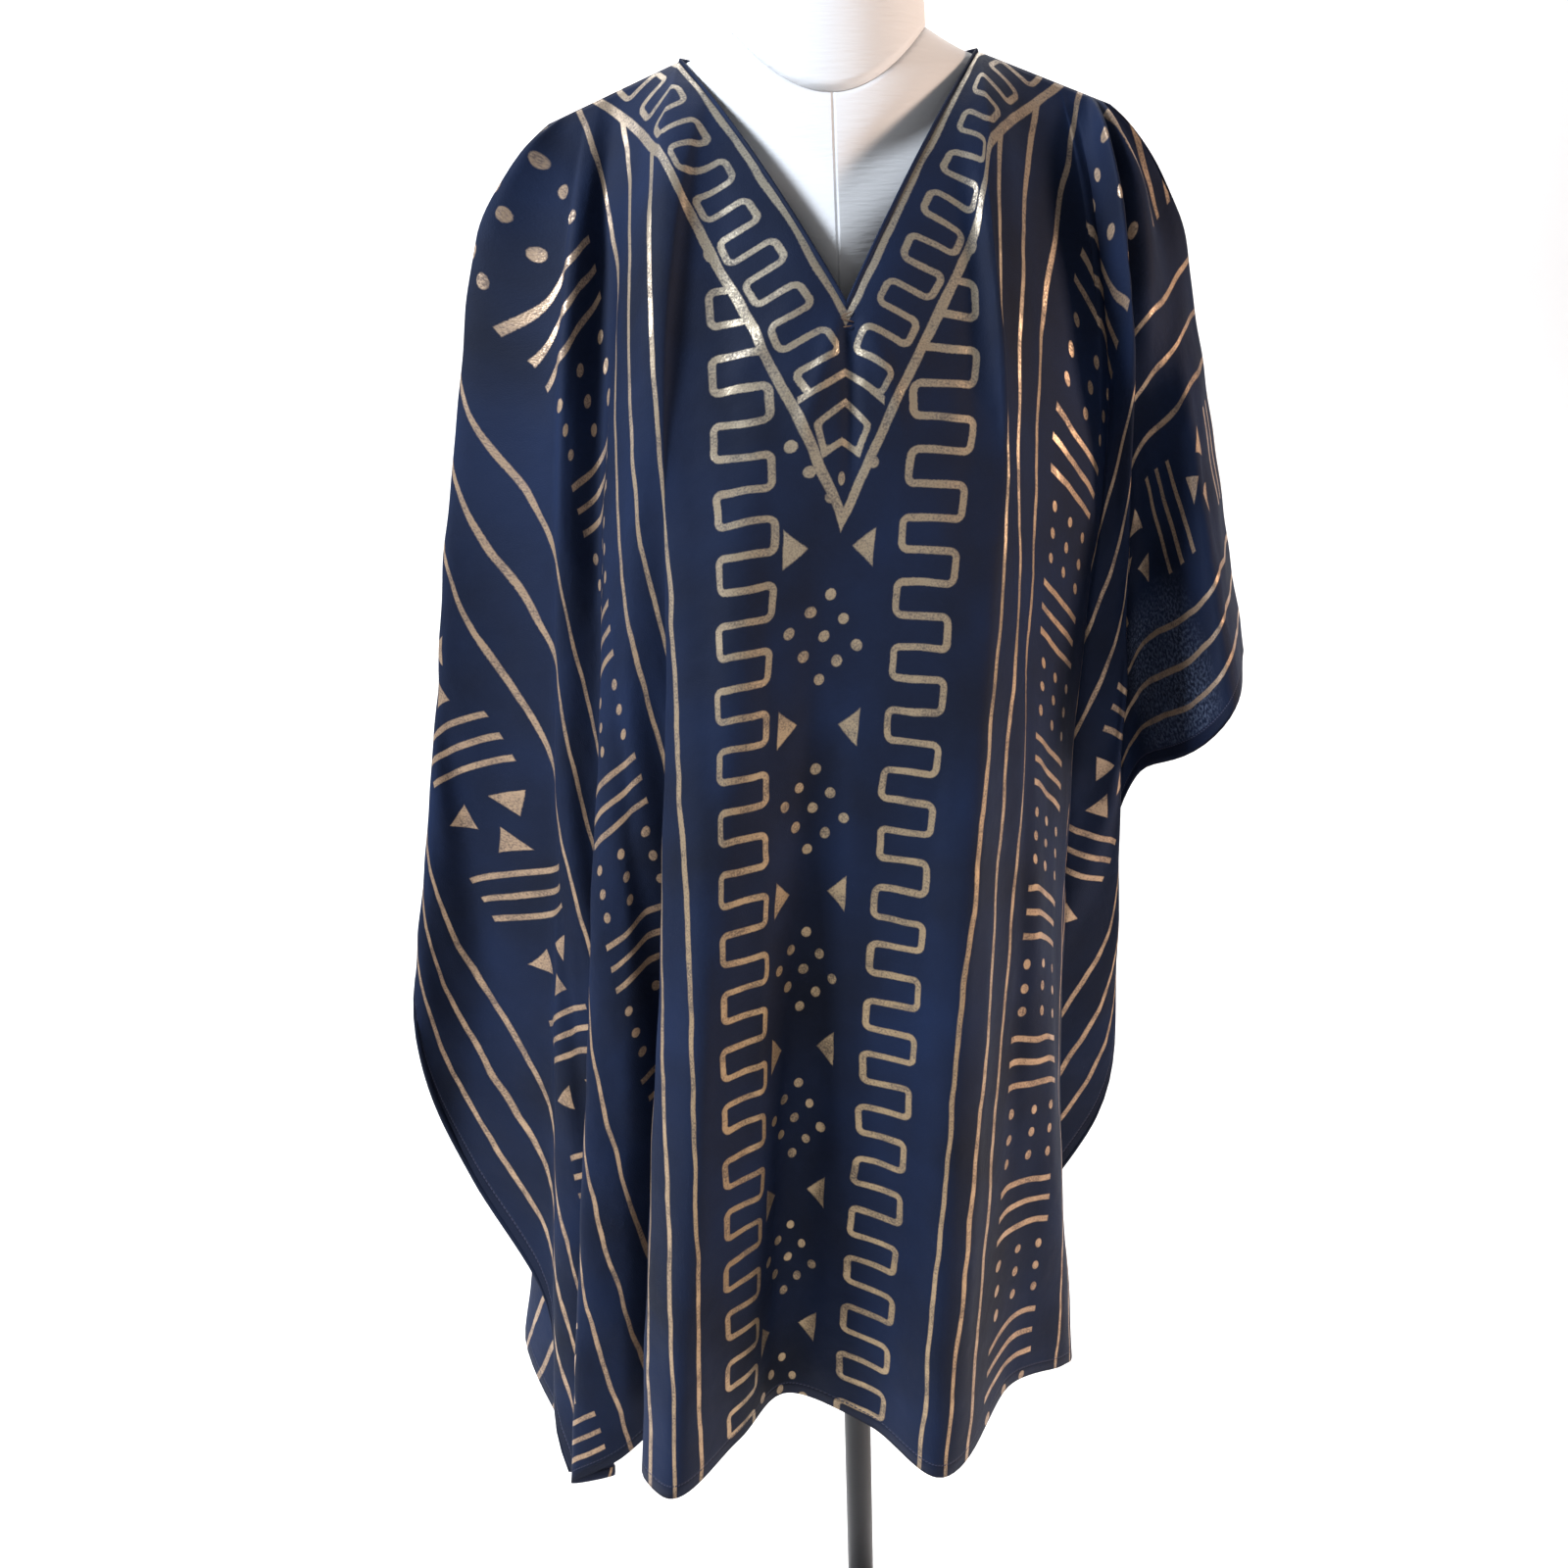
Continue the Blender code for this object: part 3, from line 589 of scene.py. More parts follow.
def join_seams(
    front: np.ndarray, front_edge: np.ndarray, back: np.ndarray, back_edge: np.ndarray
) -> np.ndarray:
    """Brings the back panel's seams onto the front panel's.

    Args:
        front: The front's places [column, row, 3].
        front_edge: Distance round the edge of each of its columns.
        back: The back's places.
        back_edge: Distance round the edge of each of its columns.

    Returns:
        The back's places, with the difference at a seam eased into the cloth beside it.
    """
    joined = back.copy()
    row = np.arange(back.shape[1])
    ease = smooth(row, ROWS_OVER, back.shape[1] - 1)[None, :, None]
    # The side seams lie between these distances, and the top folds are the outer columns.
    low, high = HALF_WIDTH - SLACK, HALF_WIDTH + LENGTH - CUFF_DEPTH + SLACK
    for sign in (-1, 1):
        ours, theirs = (
            (sign * edge >= low) & (sign * edge <= high) for edge in (front_edge, back_edge)
        )
        apart = front[ours, -1] - back[theirs, -1]
        joined[theirs] += apart[:, None] * ease
    reach = 2 * FINE_ACROSS
    for column, inward in ((0, 1), (-1, -1)):
        apart = front[column] - joined[column]
        for step in range(reach):
            joined[column + inward * step] += apart * (1 - step / reach) ** 2
    return joined


class Field:
    """A number at each point of a surface, worked out by shader nodes.

    Attributes:
        tree: The node tree.
        socket: The output socket that carries the number.
    """

    def __init__(self, tree: bpy.types.NodeTree, socket: bpy.types.NodeSocket) -> None:
        """Wraps an output socket."""
        self.tree = tree
        self.socket = socket

    def math(self, operation: str, *others: "Field | float") -> "Field":
        """A math node on this number and others.

        Args:
            operation: The node's operation.
            others: Its second and third inputs, fields or plain numbers.

        Returns:
            The node's result.
        """
        node = self.tree.nodes.new("ShaderNodeMath")
        node.operation = operation
        self.tree.links.new(self.socket, node.inputs[0])
        for slot, value in enumerate(others, start=1):
            if isinstance(value, Field):
                self.tree.links.new(value.socket, node.inputs[slot])
            else:
                node.inputs[slot].default_value = value
        return Field(self.tree, node.outputs[0])

    def __add__(self, other: "Field | float") -> "Field":
        """Sum."""
        return self.math("ADD", other)

    def __sub__(self, other: "Field | float") -> "Field":
        """Difference."""
        return self.math("SUBTRACT", other)

    def __mul__(self, other: "Field | float") -> "Field":
        """Product."""
        return self.math("MULTIPLY", other)

    def __neg__(self) -> "Field":
        """The number with its sign turned."""
        return self.math("MULTIPLY", -1.0)

    def __abs__(self) -> "Field":
        """Size without sign."""
        return self.math("ABSOLUTE")

    def below(self, other: "Field | float") -> "Field":
        """1 where this is less than the other, or else 0."""
        return self.math("LESS_THAN", other)

    def low(self, *others: "Field | float") -> "Field":
        """The least of this number and others.

        Args:
            others: The other numbers.

        Returns:
            The least.
        """
        least = self
        for other in others:
            least = least.math("MINIMUM", other)
        return least

    def high(self, other: "Field | float") -> "Field":
        """The greater of the two."""
        return self.math("MAXIMUM", other)

    def centred(self, centre: float, period: float) -> "Field":
        """Signed distance from the nearest of the places centre + n * period."""
        return (self - (centre - period / 2)).math("FLOORED_MODULO", period) - period / 2

    def nearest(self, pitch: float) -> "Field":
        """Signed distance from the nearest of the three places -pitch, 0 and pitch."""
        step = self.math("DIVIDE", pitch).math("ROUND").high(-1.0).low(1.0)
        return self - step * pitch

    def long(self, other: "Field") -> "Field":
        """Length of the pair of numbers."""
        return (self * self + other * other).math("SQRT")

    def ramp(self, low: float, high: float) -> "Field":
        """A straight rise from 0 to 1, held beyond both ends.

        Args:
            low: The number that gives 0.
            high: The number that gives 1. It may be the lesser of the two.

        Returns:
            The rise.
        """
        node = self.tree.nodes.new("ShaderNodeMapRange")
        self.tree.links.new(self.socket, node.inputs["Value"])
        node.inputs["From Min"].default_value = low
        node.inputs["From Max"].default_value = high
        return Field(self.tree, node.outputs["Result"])


def noise(
    tree: bpy.types.NodeTree, where: bpy.types.NodeSocket, scale: float, detail: float = 2.0
) -> tuple[Field, bpy.types.NodeSocket]:
    """A noise node's two outputs, its factor as a field and its colour.

    Args:
        tree: The node tree.
        where: Socket of the coordinates.
        scale: Waves for each metre.
        detail: Octaves.

    Returns:
        The factor as a Field, and the colour socket.
    """
    node = tree.nodes.new("ShaderNodeTexNoise")
    node.inputs["Scale"].default_value = scale
    node.inputs["Detail"].default_value = detail
    tree.links.new(where, node.inputs["Vector"])
    return Field(tree, node.outputs["Fac"]), node.outputs["Color"]


def mixed(
    tree: bpy.types.NodeTree,
    low: Colour | bpy.types.NodeSocket,
    high: Colour | bpy.types.NodeSocket,
    share: Field,
) -> bpy.types.NodeSocket:
    """A colour between two others.

    Args:
        tree: The node tree.
        low: The colour where the share is 0, plain or a socket.
        high: The colour where the share is 1, plain or a socket.
        share: The share.

    Returns:
        The socket of the mixed colour.
    """
    node = tree.nodes.new("ShaderNodeMix")
    node.data_type = "RGBA"
    tree.links.new(share.socket, node.inputs["Factor"])
    # Inputs 6 and 7 are the node's two colours, and output 2 is the mixed one.
    for place, colour in ((6, low), (7, high)):
        if isinstance(colour, bpy.types.NodeSocket):
            tree.links.new(colour, node.inputs[place])
        else:
            node.inputs[place].default_value = (*colour, 1.0)
    return node.outputs[2]


def relief(shader: bpy.types.Node, height: Field, strength: float, depth: float) -> None:
    """Bends a shader's normal by a height.

    Args:
        shader: The shader node.
        height: The height, where 1 is depth high.
        strength: Share of the bend.
        depth: Depth in metres.
    """
    bump = height.tree.nodes.new("ShaderNodeBump")
    bump.inputs["Strength"].default_value = strength
    bump.inputs["Distance"].default_value = depth
    height.tree.links.new(height.socket, bump.inputs["Height"])
    height.tree.links.new(bump.outputs["Normal"], shader.inputs["Normal"])


@dataclass(frozen=True)
class Print:
    """The gold print as a distance in millimetres, below 0 where there is gold.

    Its bands run down the cloth and are the same on both sides of the centre line: a column of
    triangles and dots, a meander, three groups of three lines, and between them two columns of
    strokes, dots and triangles. A pointed border with a meander of its own frames the neckline.
    All rows repeat every period. Low down, the print leans a few millimetres to the left. All
    measures are in millimetres.

    Attributes:
        panel: The panel it is printed on.
        period: Length after which the rows repeat.
        line: Thickness of the long lines.
        dot: Radius of a dot.
        meander_place: Distance of the meander from the centre line.
        meander_size: Its half width, the length of one wave and its line's thickness.
        meander_start: Flat t at which a wave begins.
        corner: Radius of its corners.
        line_groups: Distance of each group of lines from the centre line, and their spacing.
        dots_place: Distance of the column of strokes and dots from the centre line.
        triangles_place: Distance of the column of strokes and triangles from the centre line.
        pairs_level: Flat t of a pair of triangles on the centre line.
        border_place: Distance of the border's meander from the neck edge.
        border_half: Its half width on the front and on the back.
        border_size: The length of one wave and its line's thickness.
        border_shift: How far to the left of the centre line the border's middle lies.
        outline: Half the thickness of the border's outer line.
        centre_shift: How far to the left of the centre line the middle column lies.
        leaning: Flat t between which the lean sets in.
        centre_lean: How far the middle column leans low down.
        meander_lean: How far the left meander leans low down.
        slanting: Flat t between which the slant of the rows near the shoulder fades out.
    """

    panel: Panel
    period: float = 112.0
    line: float = 3.9
    dot: float = 3.6
    meander_place: float = 56.5
    meander_size: tuple[float, float, float] = (17.0, 39.4, 4.4)
    meander_start: float = 9.0
    corner: float = 4.2
    line_groups: tuple[tuple[float, float], ...] = ((137.0, 27.0), (328.0, 32.5), (505.0, 26.0))
    dots_place: float = 221.0
    triangles_place: float = 415.0
    pairs_level: float = 324.0
    border_place: float = 27.0
    border_half: tuple[float, float] = (12.5, 12.0)
    border_size: tuple[float, float] = (31.0, 3.8)
    border_shift: float = 1.5
    outline: float = 2.7
    centre_shift: float = 6.0
    leaning: tuple[float, float] = (330.0, 430.0)
    centre_lean: float = 3.0
    meander_lean: float = 7.0
    slanting: tuple[float, float] = (150.0, 260.0)

    def meander(self, x: Field, y: Field, half: float, pitch: float, line: float) -> Field:
        """A square wave with round corners.

        On each side of x = 0 it is the outline of a tooth, a box half * pitch / 4 with corners
        of radius corner: | |max(q, 0)| + min(max(qx, qy), 0) - corner | - line / 2, where q is
        the distance from the box's inner corner.

        Args:
            x: Distance across the wave from its middle.
            y: Distance along it.
            half: Half of its width.
            pitch: Length of one wave.
            line: Thickness of its line.

        Returns:
            The distance from its line.
        """
        tooth = (y - x.math("SIGN") * (pitch / 4)).centred(0.0, pitch)
        across = abs(x) - (half - self.corner)
        along = abs(tooth) - (pitch / 4 - self.corner)
        box = across.high(0.0).long(along.high(0.0)) + across.high(along).low(0.0)
        return abs(box - self.corner) - line / 2

    def triangle(self, x: Field, y: Field, size: float) -> Field:
        """An even triangle about (0, 0) with its point towards -y, 3 * size high."""
        return y.high(abs(x) * 0.866 - y * 0.5) - size

    def centre(self, x: Field, t: Field) -> Field:
        """Two triangles that point at each other, then nine dots in a leaning square.

        The dots lie on the steps (-12, 11) and (11, 16) from the square's middle. first and
        second are how many of each lead to a point, and the nearest whole numbers to its dot.

        Args:
            x: Flat s from the column's middle.
            t: Flat t.

        Returns:
            The distance from the motifs.
        """
        y = t.centred(self.pairs_level, self.period)
        pair = self.triangle(y * 0.65, abs(x) - 24.2, 4.6)
        y = t.centred(self.pairs_level + self.period / 2, self.period)
        first = (y * 11.0 - x * 16.0) * (1 / 313.0)
        second = (x * 11.0 + y * 12.0) * (1 / 313.0)
        first = first - first.nearest(1.0)
        second = second - second.nearest(1.0)
        dot_x = x - (second * 11.0 - first * 12.0)
        dot_y = y - (second * 16.0 + first * 11.0)
        return pair.low(dot_x.long(dot_y) - self.dot)

    def strokes(self, x: Field, y: Field, pitch: float, half: float, line: float) -> Field:
        """Three strokes across, one above the other.

        Args:
            x: Distance across from their middle.
            y: Distance down from the middle one.
            pitch: Distance between two strokes.
            half: Half of their length.
            line: Their thickness.

        Returns:
            The distance from them.
        """
        return (abs(y.nearest(pitch)) - line / 2).high(abs(x) - half)

    def strokes_and_dots(self, s: Field, t: Field) -> Field:
        """Three strokes across, then three rows of three dots.

        Near the shoulder the rows slant, with their outer ends lower.

        Args:
            s: Flat s from the centre line, on either side.
            t: Flat t.

        Returns:
            The distance from the motifs.
        """
        x = s - self.dots_place
        t = t - x * (-(t.ramp(*self.slanting)) + 1.0) * 0.5
        y = t.centred(455.0, self.period)
        strokes = self.strokes(x, y, 17.5, 35.0, 4.6)
        y = t.centred(455.0 + self.period / 2, self.period)
        return strokes.low(x.nearest(27.0).long(y.nearest(18.0)) - self.dot)

    def strokes_and_triangles(self, s: Field, t: Field) -> Field:
        """Three strokes across, then three triangles turned differently.

        Args:
            s: Flat s from the centre line, on either side.
            t: Flat t.

        Returns:
            The distance from the motifs.
        """
        x = s - self.triangles_place
        y = t.centred(464.0, self.period)
        strokes = self.strokes(x, y, 16.0, 33.0, 4.4)
        y = t.centred(410.0, self.period)
        first = self.triangle(x + 17.0, -(y + 13.0), 5.8)
        second = self.triangle(y + 8.0, -(x - 17.0), 5.8)
        third = self.triangle(x + 3.0, y - 16.0, 5.8)
        return strokes.low(first, second, third)

    def lines(self, s: Field, centre: float, pitch: float) -> Field:
        """Three lines side by side."""
        return abs((s - centre).nearest(pitch)) - self.line / 2

    def neckline(self, x: Field, t: Field) -> tuple[Field, Field, Field]:
        """Coordinates beside the neckline.

        On the front the neck edge is s = 92 * (1 - t / 185) and the border's outer line
        t = 309 - 2.55 s + 0.0033 s^2. On the back they are the levels 1 and 2.66 of
        (s / 92)^2 + t / 50.

        Args:
            x: Flat s from the print's middle.
            t: Flat t.

        Returns:
            Distance from the neck edge, distance along it, and distance from the outer line.
        """
        s = abs(x)
        if self.panel is Panel.FRONT:
            edge = (s + t * 0.497 - 92.0) * 0.895
            along = t * 0.895 - s * 0.445
            slope = s * -0.0066 + 2.55
            outer = t - s * s * 0.0033 + s * 2.55 - 309.0
            outer = outer.math("DIVIDE", (slope * slope + 1.0).math("SQRT"))
            return edge, along, outer
        level = s * s * (1 / 92.0**2) + t * (1 / 50.0)
        along = (t * 1.1).math("ARCTAN2", s) * 95.0
        return (level - 1.0) * 31.0, along, (level - 2.66) * 28.0

    def border(self, x: Field, t: Field, edge: Field, along: Field) -> Field:
        """The border beside the neckline, inside its outer line.

        Piping follows the neck edge, and a meander runs beside it. On the front the meander
        ends below the point of the V at a peaked line, over a heart with a dot under it.

        Args:
            x: Flat s from the border's middle.
            t: Flat t.
            edge: Distance from the neck edge.
            along: Distance along it.

        Returns:
            The distance from the border's motifs.
        """
        s = abs(x)
        piping = abs(edge - 2.9) - 1.9
        across = edge - self.border_place
        front_half, back_half = self.border_half
        if self.panel is Panel.BACK:
            return piping.low(self.meander(across, along, back_half, *self.border_size))
        band = self.meander(across, along - 186.0, front_half, *self.border_size)
        peak = t - s * 0.6 - 223.0
        band = band.high(peak).high(-(s - 3.0))
        peak = (abs(peak) * 0.86 - 1.9).high(s - 24.0)
        y = t - 254.0
        roof = s * 0.65 - y * 0.76 - 10.6
        side = s * 0.965 + y * 0.264 - 13.0
        notch = y * 0.81 - s * 0.586 - 6.5
        heart = abs(roof.math("SMOOTH_MAX", side, 3.0).math("SMOOTH_MAX", notch, 3.0)) - 1.8
        dot = (x * 1.7).long((t - 284.0) * 0.8) - 3.2
        return piping.low(band, peak, heart, dot)

    def distance(self, x: Field, t: Field) -> Field:
        """The whole print.

        Args:
            x: Flat s in millimetres.
            t: Flat t in millimetres.

        Returns:
            The distance from its nearest edge, below 0 inside a motif.
        """
        s = abs(x)
        lean = t.ramp(*self.leaning)
        askew = x + lean * self.centre_lean + self.centre_shift
        edge, along, outer = self.neckline(x, t)
        inside = outer.below(0.0)
        left = x.below(0.0) * lean
        beside = s - left * self.meander_lean - self.meander_place
        outside = self.centre(askew, t).low(
            self.meander(beside, t - self.meander_start, *self.meander_size),
            *(self.lines(s, place, pitch) for place, pitch in self.line_groups),
            self.strokes_and_dots(s, t),
            self.strokes_and_triangles(s, t),
        )
        framed = self.border(x + self.border_shift, t, edge, along)
        split = framed * inside + outside * (-inside + 1.0)
        return split.low(abs(outer) - self.outline)


@dataclass(frozen=True)
class Crepe:
    """Navy crepe, fine and dull, with a worn gold foil print on its outer face.

    Attributes:
        navy: Colour of the cloth.
        shade: Its colour in the darker clouds.
        seam_navy: Its colour where it is double or sewn.
        sheer: Its colour where light comes through, low on the right cuff.
        thread: Colour of the hem stitches.
        painted_light_golds: Foil colours at the top, at the sides and lower down, with painted
            light in them: a silvery reflection at the top, a warm salmon reflection at the sides
            and darker gold lower down where less light falls.
        roughness: Roughness of the cloth, and of the foil where it isn't worn.
        metallic: Metallic share of the foil there.
        fold_in: Width of the turned hem in millimetres.
        stitch: Pitch, half length and half thickness of its stitches in millimetres.
        sheer_place: Flat middle of the sheer place in millimetres.
    """

    navy: Colour = (0.0064, 0.0146, 0.0450)
    shade: Colour = (0.0045, 0.0072, 0.0180)
    seam_navy: Colour = (0.004, 0.005, 0.012)
    sheer: Colour = (0.075, 0.095, 0.150)
    thread: Colour = (0.035, 0.040, 0.075)
    # Foil colours with painted light in them: silvery at the top, warm salmon at the sides, darker
    # gold low down.
    painted_light_golds: tuple[Colour, Colour, Colour] = (
        (0.38, 0.34, 0.27),
        (0.47, 0.31, 0.20),
        (0.40, 0.29, 0.17),
    )
    roughness: tuple[float, float] = (0.72, 0.36)
    metallic: float = 0.62
    fold_in: float = 9.0
    stitch: tuple[float, float, float] = (3.2, 1.1, 0.5)
    sheer_place: tuple[float, float] = (505.0, 192.0)

    def ground(
        self, name: str
    ) -> tuple[bpy.types.Material, bpy.types.NodeSocket, bpy.types.NodeSocket, Field]:
        """The cloth's roughness and sheen, and the colour and grain that a print is laid over.

        Args:
            name: Name of the material.

        Returns:
            The material, the flat coordinates' socket, the colour's socket and the grain.
        """
        material = bpy.data.materials.new(name)
        material.use_nodes = True
        tree = material.node_tree
        shader = tree.nodes["Principled BSDF"]
        shader.inputs["Roughness"].default_value = self.roughness[0]
        shader.inputs["Specular IOR Level"].default_value = 0.14
        shader.inputs["Sheen Weight"].default_value = 0.03
        shader.inputs["Sheen Roughness"].default_value = 0.45
        shader.inputs["Sheen Tint"].default_value = (0.35, 0.42, 0.75, 1.0)
        flat = tree.nodes.new("ShaderNodeUVMap")
        flat.uv_map = "flat"
        where = flat.outputs["UV"]
        cloud, _ = noise(tree, where, 9.0, 3.0)
        grain, _ = noise(tree, where, 1100.0, 1.0)
        crumple, _ = noise(tree, where, 55.0, 3.0)
        wave, _ = noise(tree, where, 16.0, 2.0)
        colour = mixed(tree, self.shade, self.navy, cloud.ramp(0.30, 0.66))
        return material, where, colour, grain + crumple * 4.0 + wave * 9.0

    def cover(
        self, material: bpy.types.Material, colour: bpy.types.NodeSocket, height: Field
    ) -> bpy.types.Material:
        """Gives the material its colour and its relief.

        Args:
            material: The material.
            colour: Socket of its colour.
            height: Its relief, where 1 is 0.4 mm.

        Returns:
            The material.
        """
        shader = material.node_tree.nodes["Principled BSDF"]
        material.node_tree.links.new(colour, shader.inputs["Base Color"])
        relief(shader, height, 0.5, 0.0004)
        return material

    def plain(self, name: str) -> bpy.types.Material:
        """The cloth without its print, for its inner face and its turned edges."""
        material, _, colour, grain = self.ground(name)
        return self.cover(material, colour, grain)

    def printed(self, name: str, panel: Panel) -> bpy.types.Material:
        """The cloth with its print, stitched hem line and seam lines.

        The print's places waver by up to 3 mm, and the foil is worn away in specks. From the
        side seams, cuffs and hem, a line of stitches lies fold_in from the edge.

        Args:
            name: Name of the material.
            panel: Which panel's print.

        Returns:
            The material.
        """
        material, where, cloth, grain = self.ground(name)
        tree = material.node_tree
        shader = tree.nodes["Principled BSDF"]
        split = tree.nodes.new("ShaderNodeSeparateXYZ")
        tree.links.new(where, split.inputs[0])
        _, colour = noise(tree, where, 24.0, 1.5)
        waver = tree.nodes.new("ShaderNodeSeparateColor")
        tree.links.new(colour, waver.inputs[0])
        s = Field(tree, split.outputs[0]) * 1000.0
        t = Field(tree, split.outputs[1]) * 1000.0
        bent_s = s + (Field(tree, waver.outputs[0]) - 0.5) * 6.0
        bent_t = t + (Field(tree, waver.outputs[1]) - 0.5) * 6.0
        grit, _ = noise(tree, where, 700.0, 2.0)
        patch, _ = noise(tree, where, 60.0, 2.0)
        gap = Print(panel).distance(bent_s, bent_t) + (grit - 0.5) * 1.3
        foil = -(gap.ramp(-0.35, 0.35)) + 1.0
        worn = (grit + patch * 0.9).ramp(0.70, 1.08)
        foil = foil * (worn * 0.68 + 0.32)
        high, aside, low = self.painted_light_golds
        # Painted light on the foil: silvery at the top, warm salmon towards the sides and darker
        # gold lower down.
        gold = mixed(tree, high, low, t.ramp(80.0, 620.0))
        gold = mixed(tree, gold, aside, abs(s).ramp(60.0, 200.0) * 0.7)

        edge = (-abs(s) + 1000.0 * HALF_WIDTH).low(-t + 1000.0 * LENGTH)
        pitch, half, thick = self.stitch
        dash = (s + t).centred(0.0, pitch)
        stitch = abs(edge - self.fold_in).below(thick) * abs(dash).below(half)
        shoulder = t + abs(s).below(1000.0 * NECK_HALF + 1.0) * 50.0 - 1.2
        seam = (abs(edge - self.fold_in) - 0.6).low(edge - 0.8, shoulder)
        double = edge.below(self.fold_in) * 0.35
        cloth = mixed(tree, cloth, self.seam_navy, (seam.below(0.0) * 0.75).high(double))
        if panel is Panel.FRONT:
            flecks, _ = noise(tree, where, 420.0, 2.0)
            place_s, place_t = self.sheer_place
            zone = abs(s - place_s).ramp(62.0, 38.0) * abs(t - place_t).ramp(62.0, 34.0)
            zone = zone * (-(edge.below(self.fold_in + 1.0)) + 1.0)
            cloth = mixed(tree, cloth, self.sheer, flecks.ramp(0.42, 0.70) * zone)
        cloth = mixed(tree, cloth, gold, foil)
        cloth = mixed(tree, cloth, self.thread, stitch)
        dull, bright = self.roughness
        tree.links.new((foil * self.metallic).socket, shader.inputs["Metallic"])
        tree.links.new((foil * (bright - dull) + dull).socket, shader.inputs["Roughness"])
        return self.cover(material, cloth, grain + seam.ramp(0.6, -0.4) * -1.4 + stitch * 1.2)


@dataclass(frozen=True)
class Finish:
    """A plain finish with a slight grain.

    Attributes:
        name: Name of the material.
        colour: Base colour.
        roughness: Roughness.
        metallic: Metallic share.
        grain: Waves of the grain for each metre along X, Y and Z.
        depth: Depth of the grain in metres.
        seam: Whether a sewn seam runs down the front's centre line.
    """

    name: str
    colour: Colour
    roughness: float
    metallic: float = 0.0
    grain: tuple[float, float, float] = (400.0, 400.0, 400.0)
    depth: float = 0.0001
    seam: bool = False

    def build(self) -> bpy.types.Material:
        """Makes the material.

        Returns:
            The material.
        """
        material = bpy.data.materials.new(self.name)
        material.use_nodes = True
        tree = material.node_tree
        shader = tree.nodes["Principled BSDF"]
        shader.inputs["Base Color"].default_value = (*self.colour, 1.0)
        shader.inputs["Roughness"].default_value = self.roughness
        shader.inputs["Metallic"].default_value = self.metallic
        where = tree.nodes.new("ShaderNodeTexCoord").outputs["Object"]
        stretch = tree.nodes.new("ShaderNodeMapping")
        stretch.inputs["Scale"].default_value = self.grain
        tree.links.new(where, stretch.inputs["Vector"])
        height, _ = noise(tree, stretch.outputs["Vector"], 1.0, 3.0)
        if self.seam:
            # A groove 2.8 mm wide, with a darker line 1.2 mm wide in it.
            split = tree.nodes.new("ShaderNodeSeparateXYZ")
            tree.links.new(where, split.inputs[0])
            across = abs(Field(tree, split.outputs[0]))
            ahead = Field(tree, split.outputs[1]).below(0.0)
            line = -(across.ramp(0.0002, 0.0014)) + 1.0
            height = height + line * ahead * -2.0
            thin = -(across.ramp(0.0001, 0.0006)) + 1.0
            dark = tuple(0.72 * part for part in self.colour)
            tint = mixed(tree, self.colour, dark, thin * ahead)
            tree.links.new(tint, shader.inputs["Base Color"])
        relief(shader, height, 0.6, self.depth)
        return material


LINEN = Finish("form linen", (0.77, 0.775, 0.79), 0.85, 0.0, (60.0, 60.0, 520.0), 0.0006, True)
NECK_LINEN = replace(LINEN, name="neck linen", seam=False)
STEEL = Finish("black paint", (0.012, 0.012, 0.014), 0.38, 0.2, (300.0, 300.0, 300.0), 0.00005)
THREAD = Finish("brown thread", (0.10, 0.055, 0.03), 0.7)
FLOOR = Finish("pale floor", (0.92, 0.92, 0.92), 0.8, 0.0, (5.0, 5.0, 5.0), 0.00001)


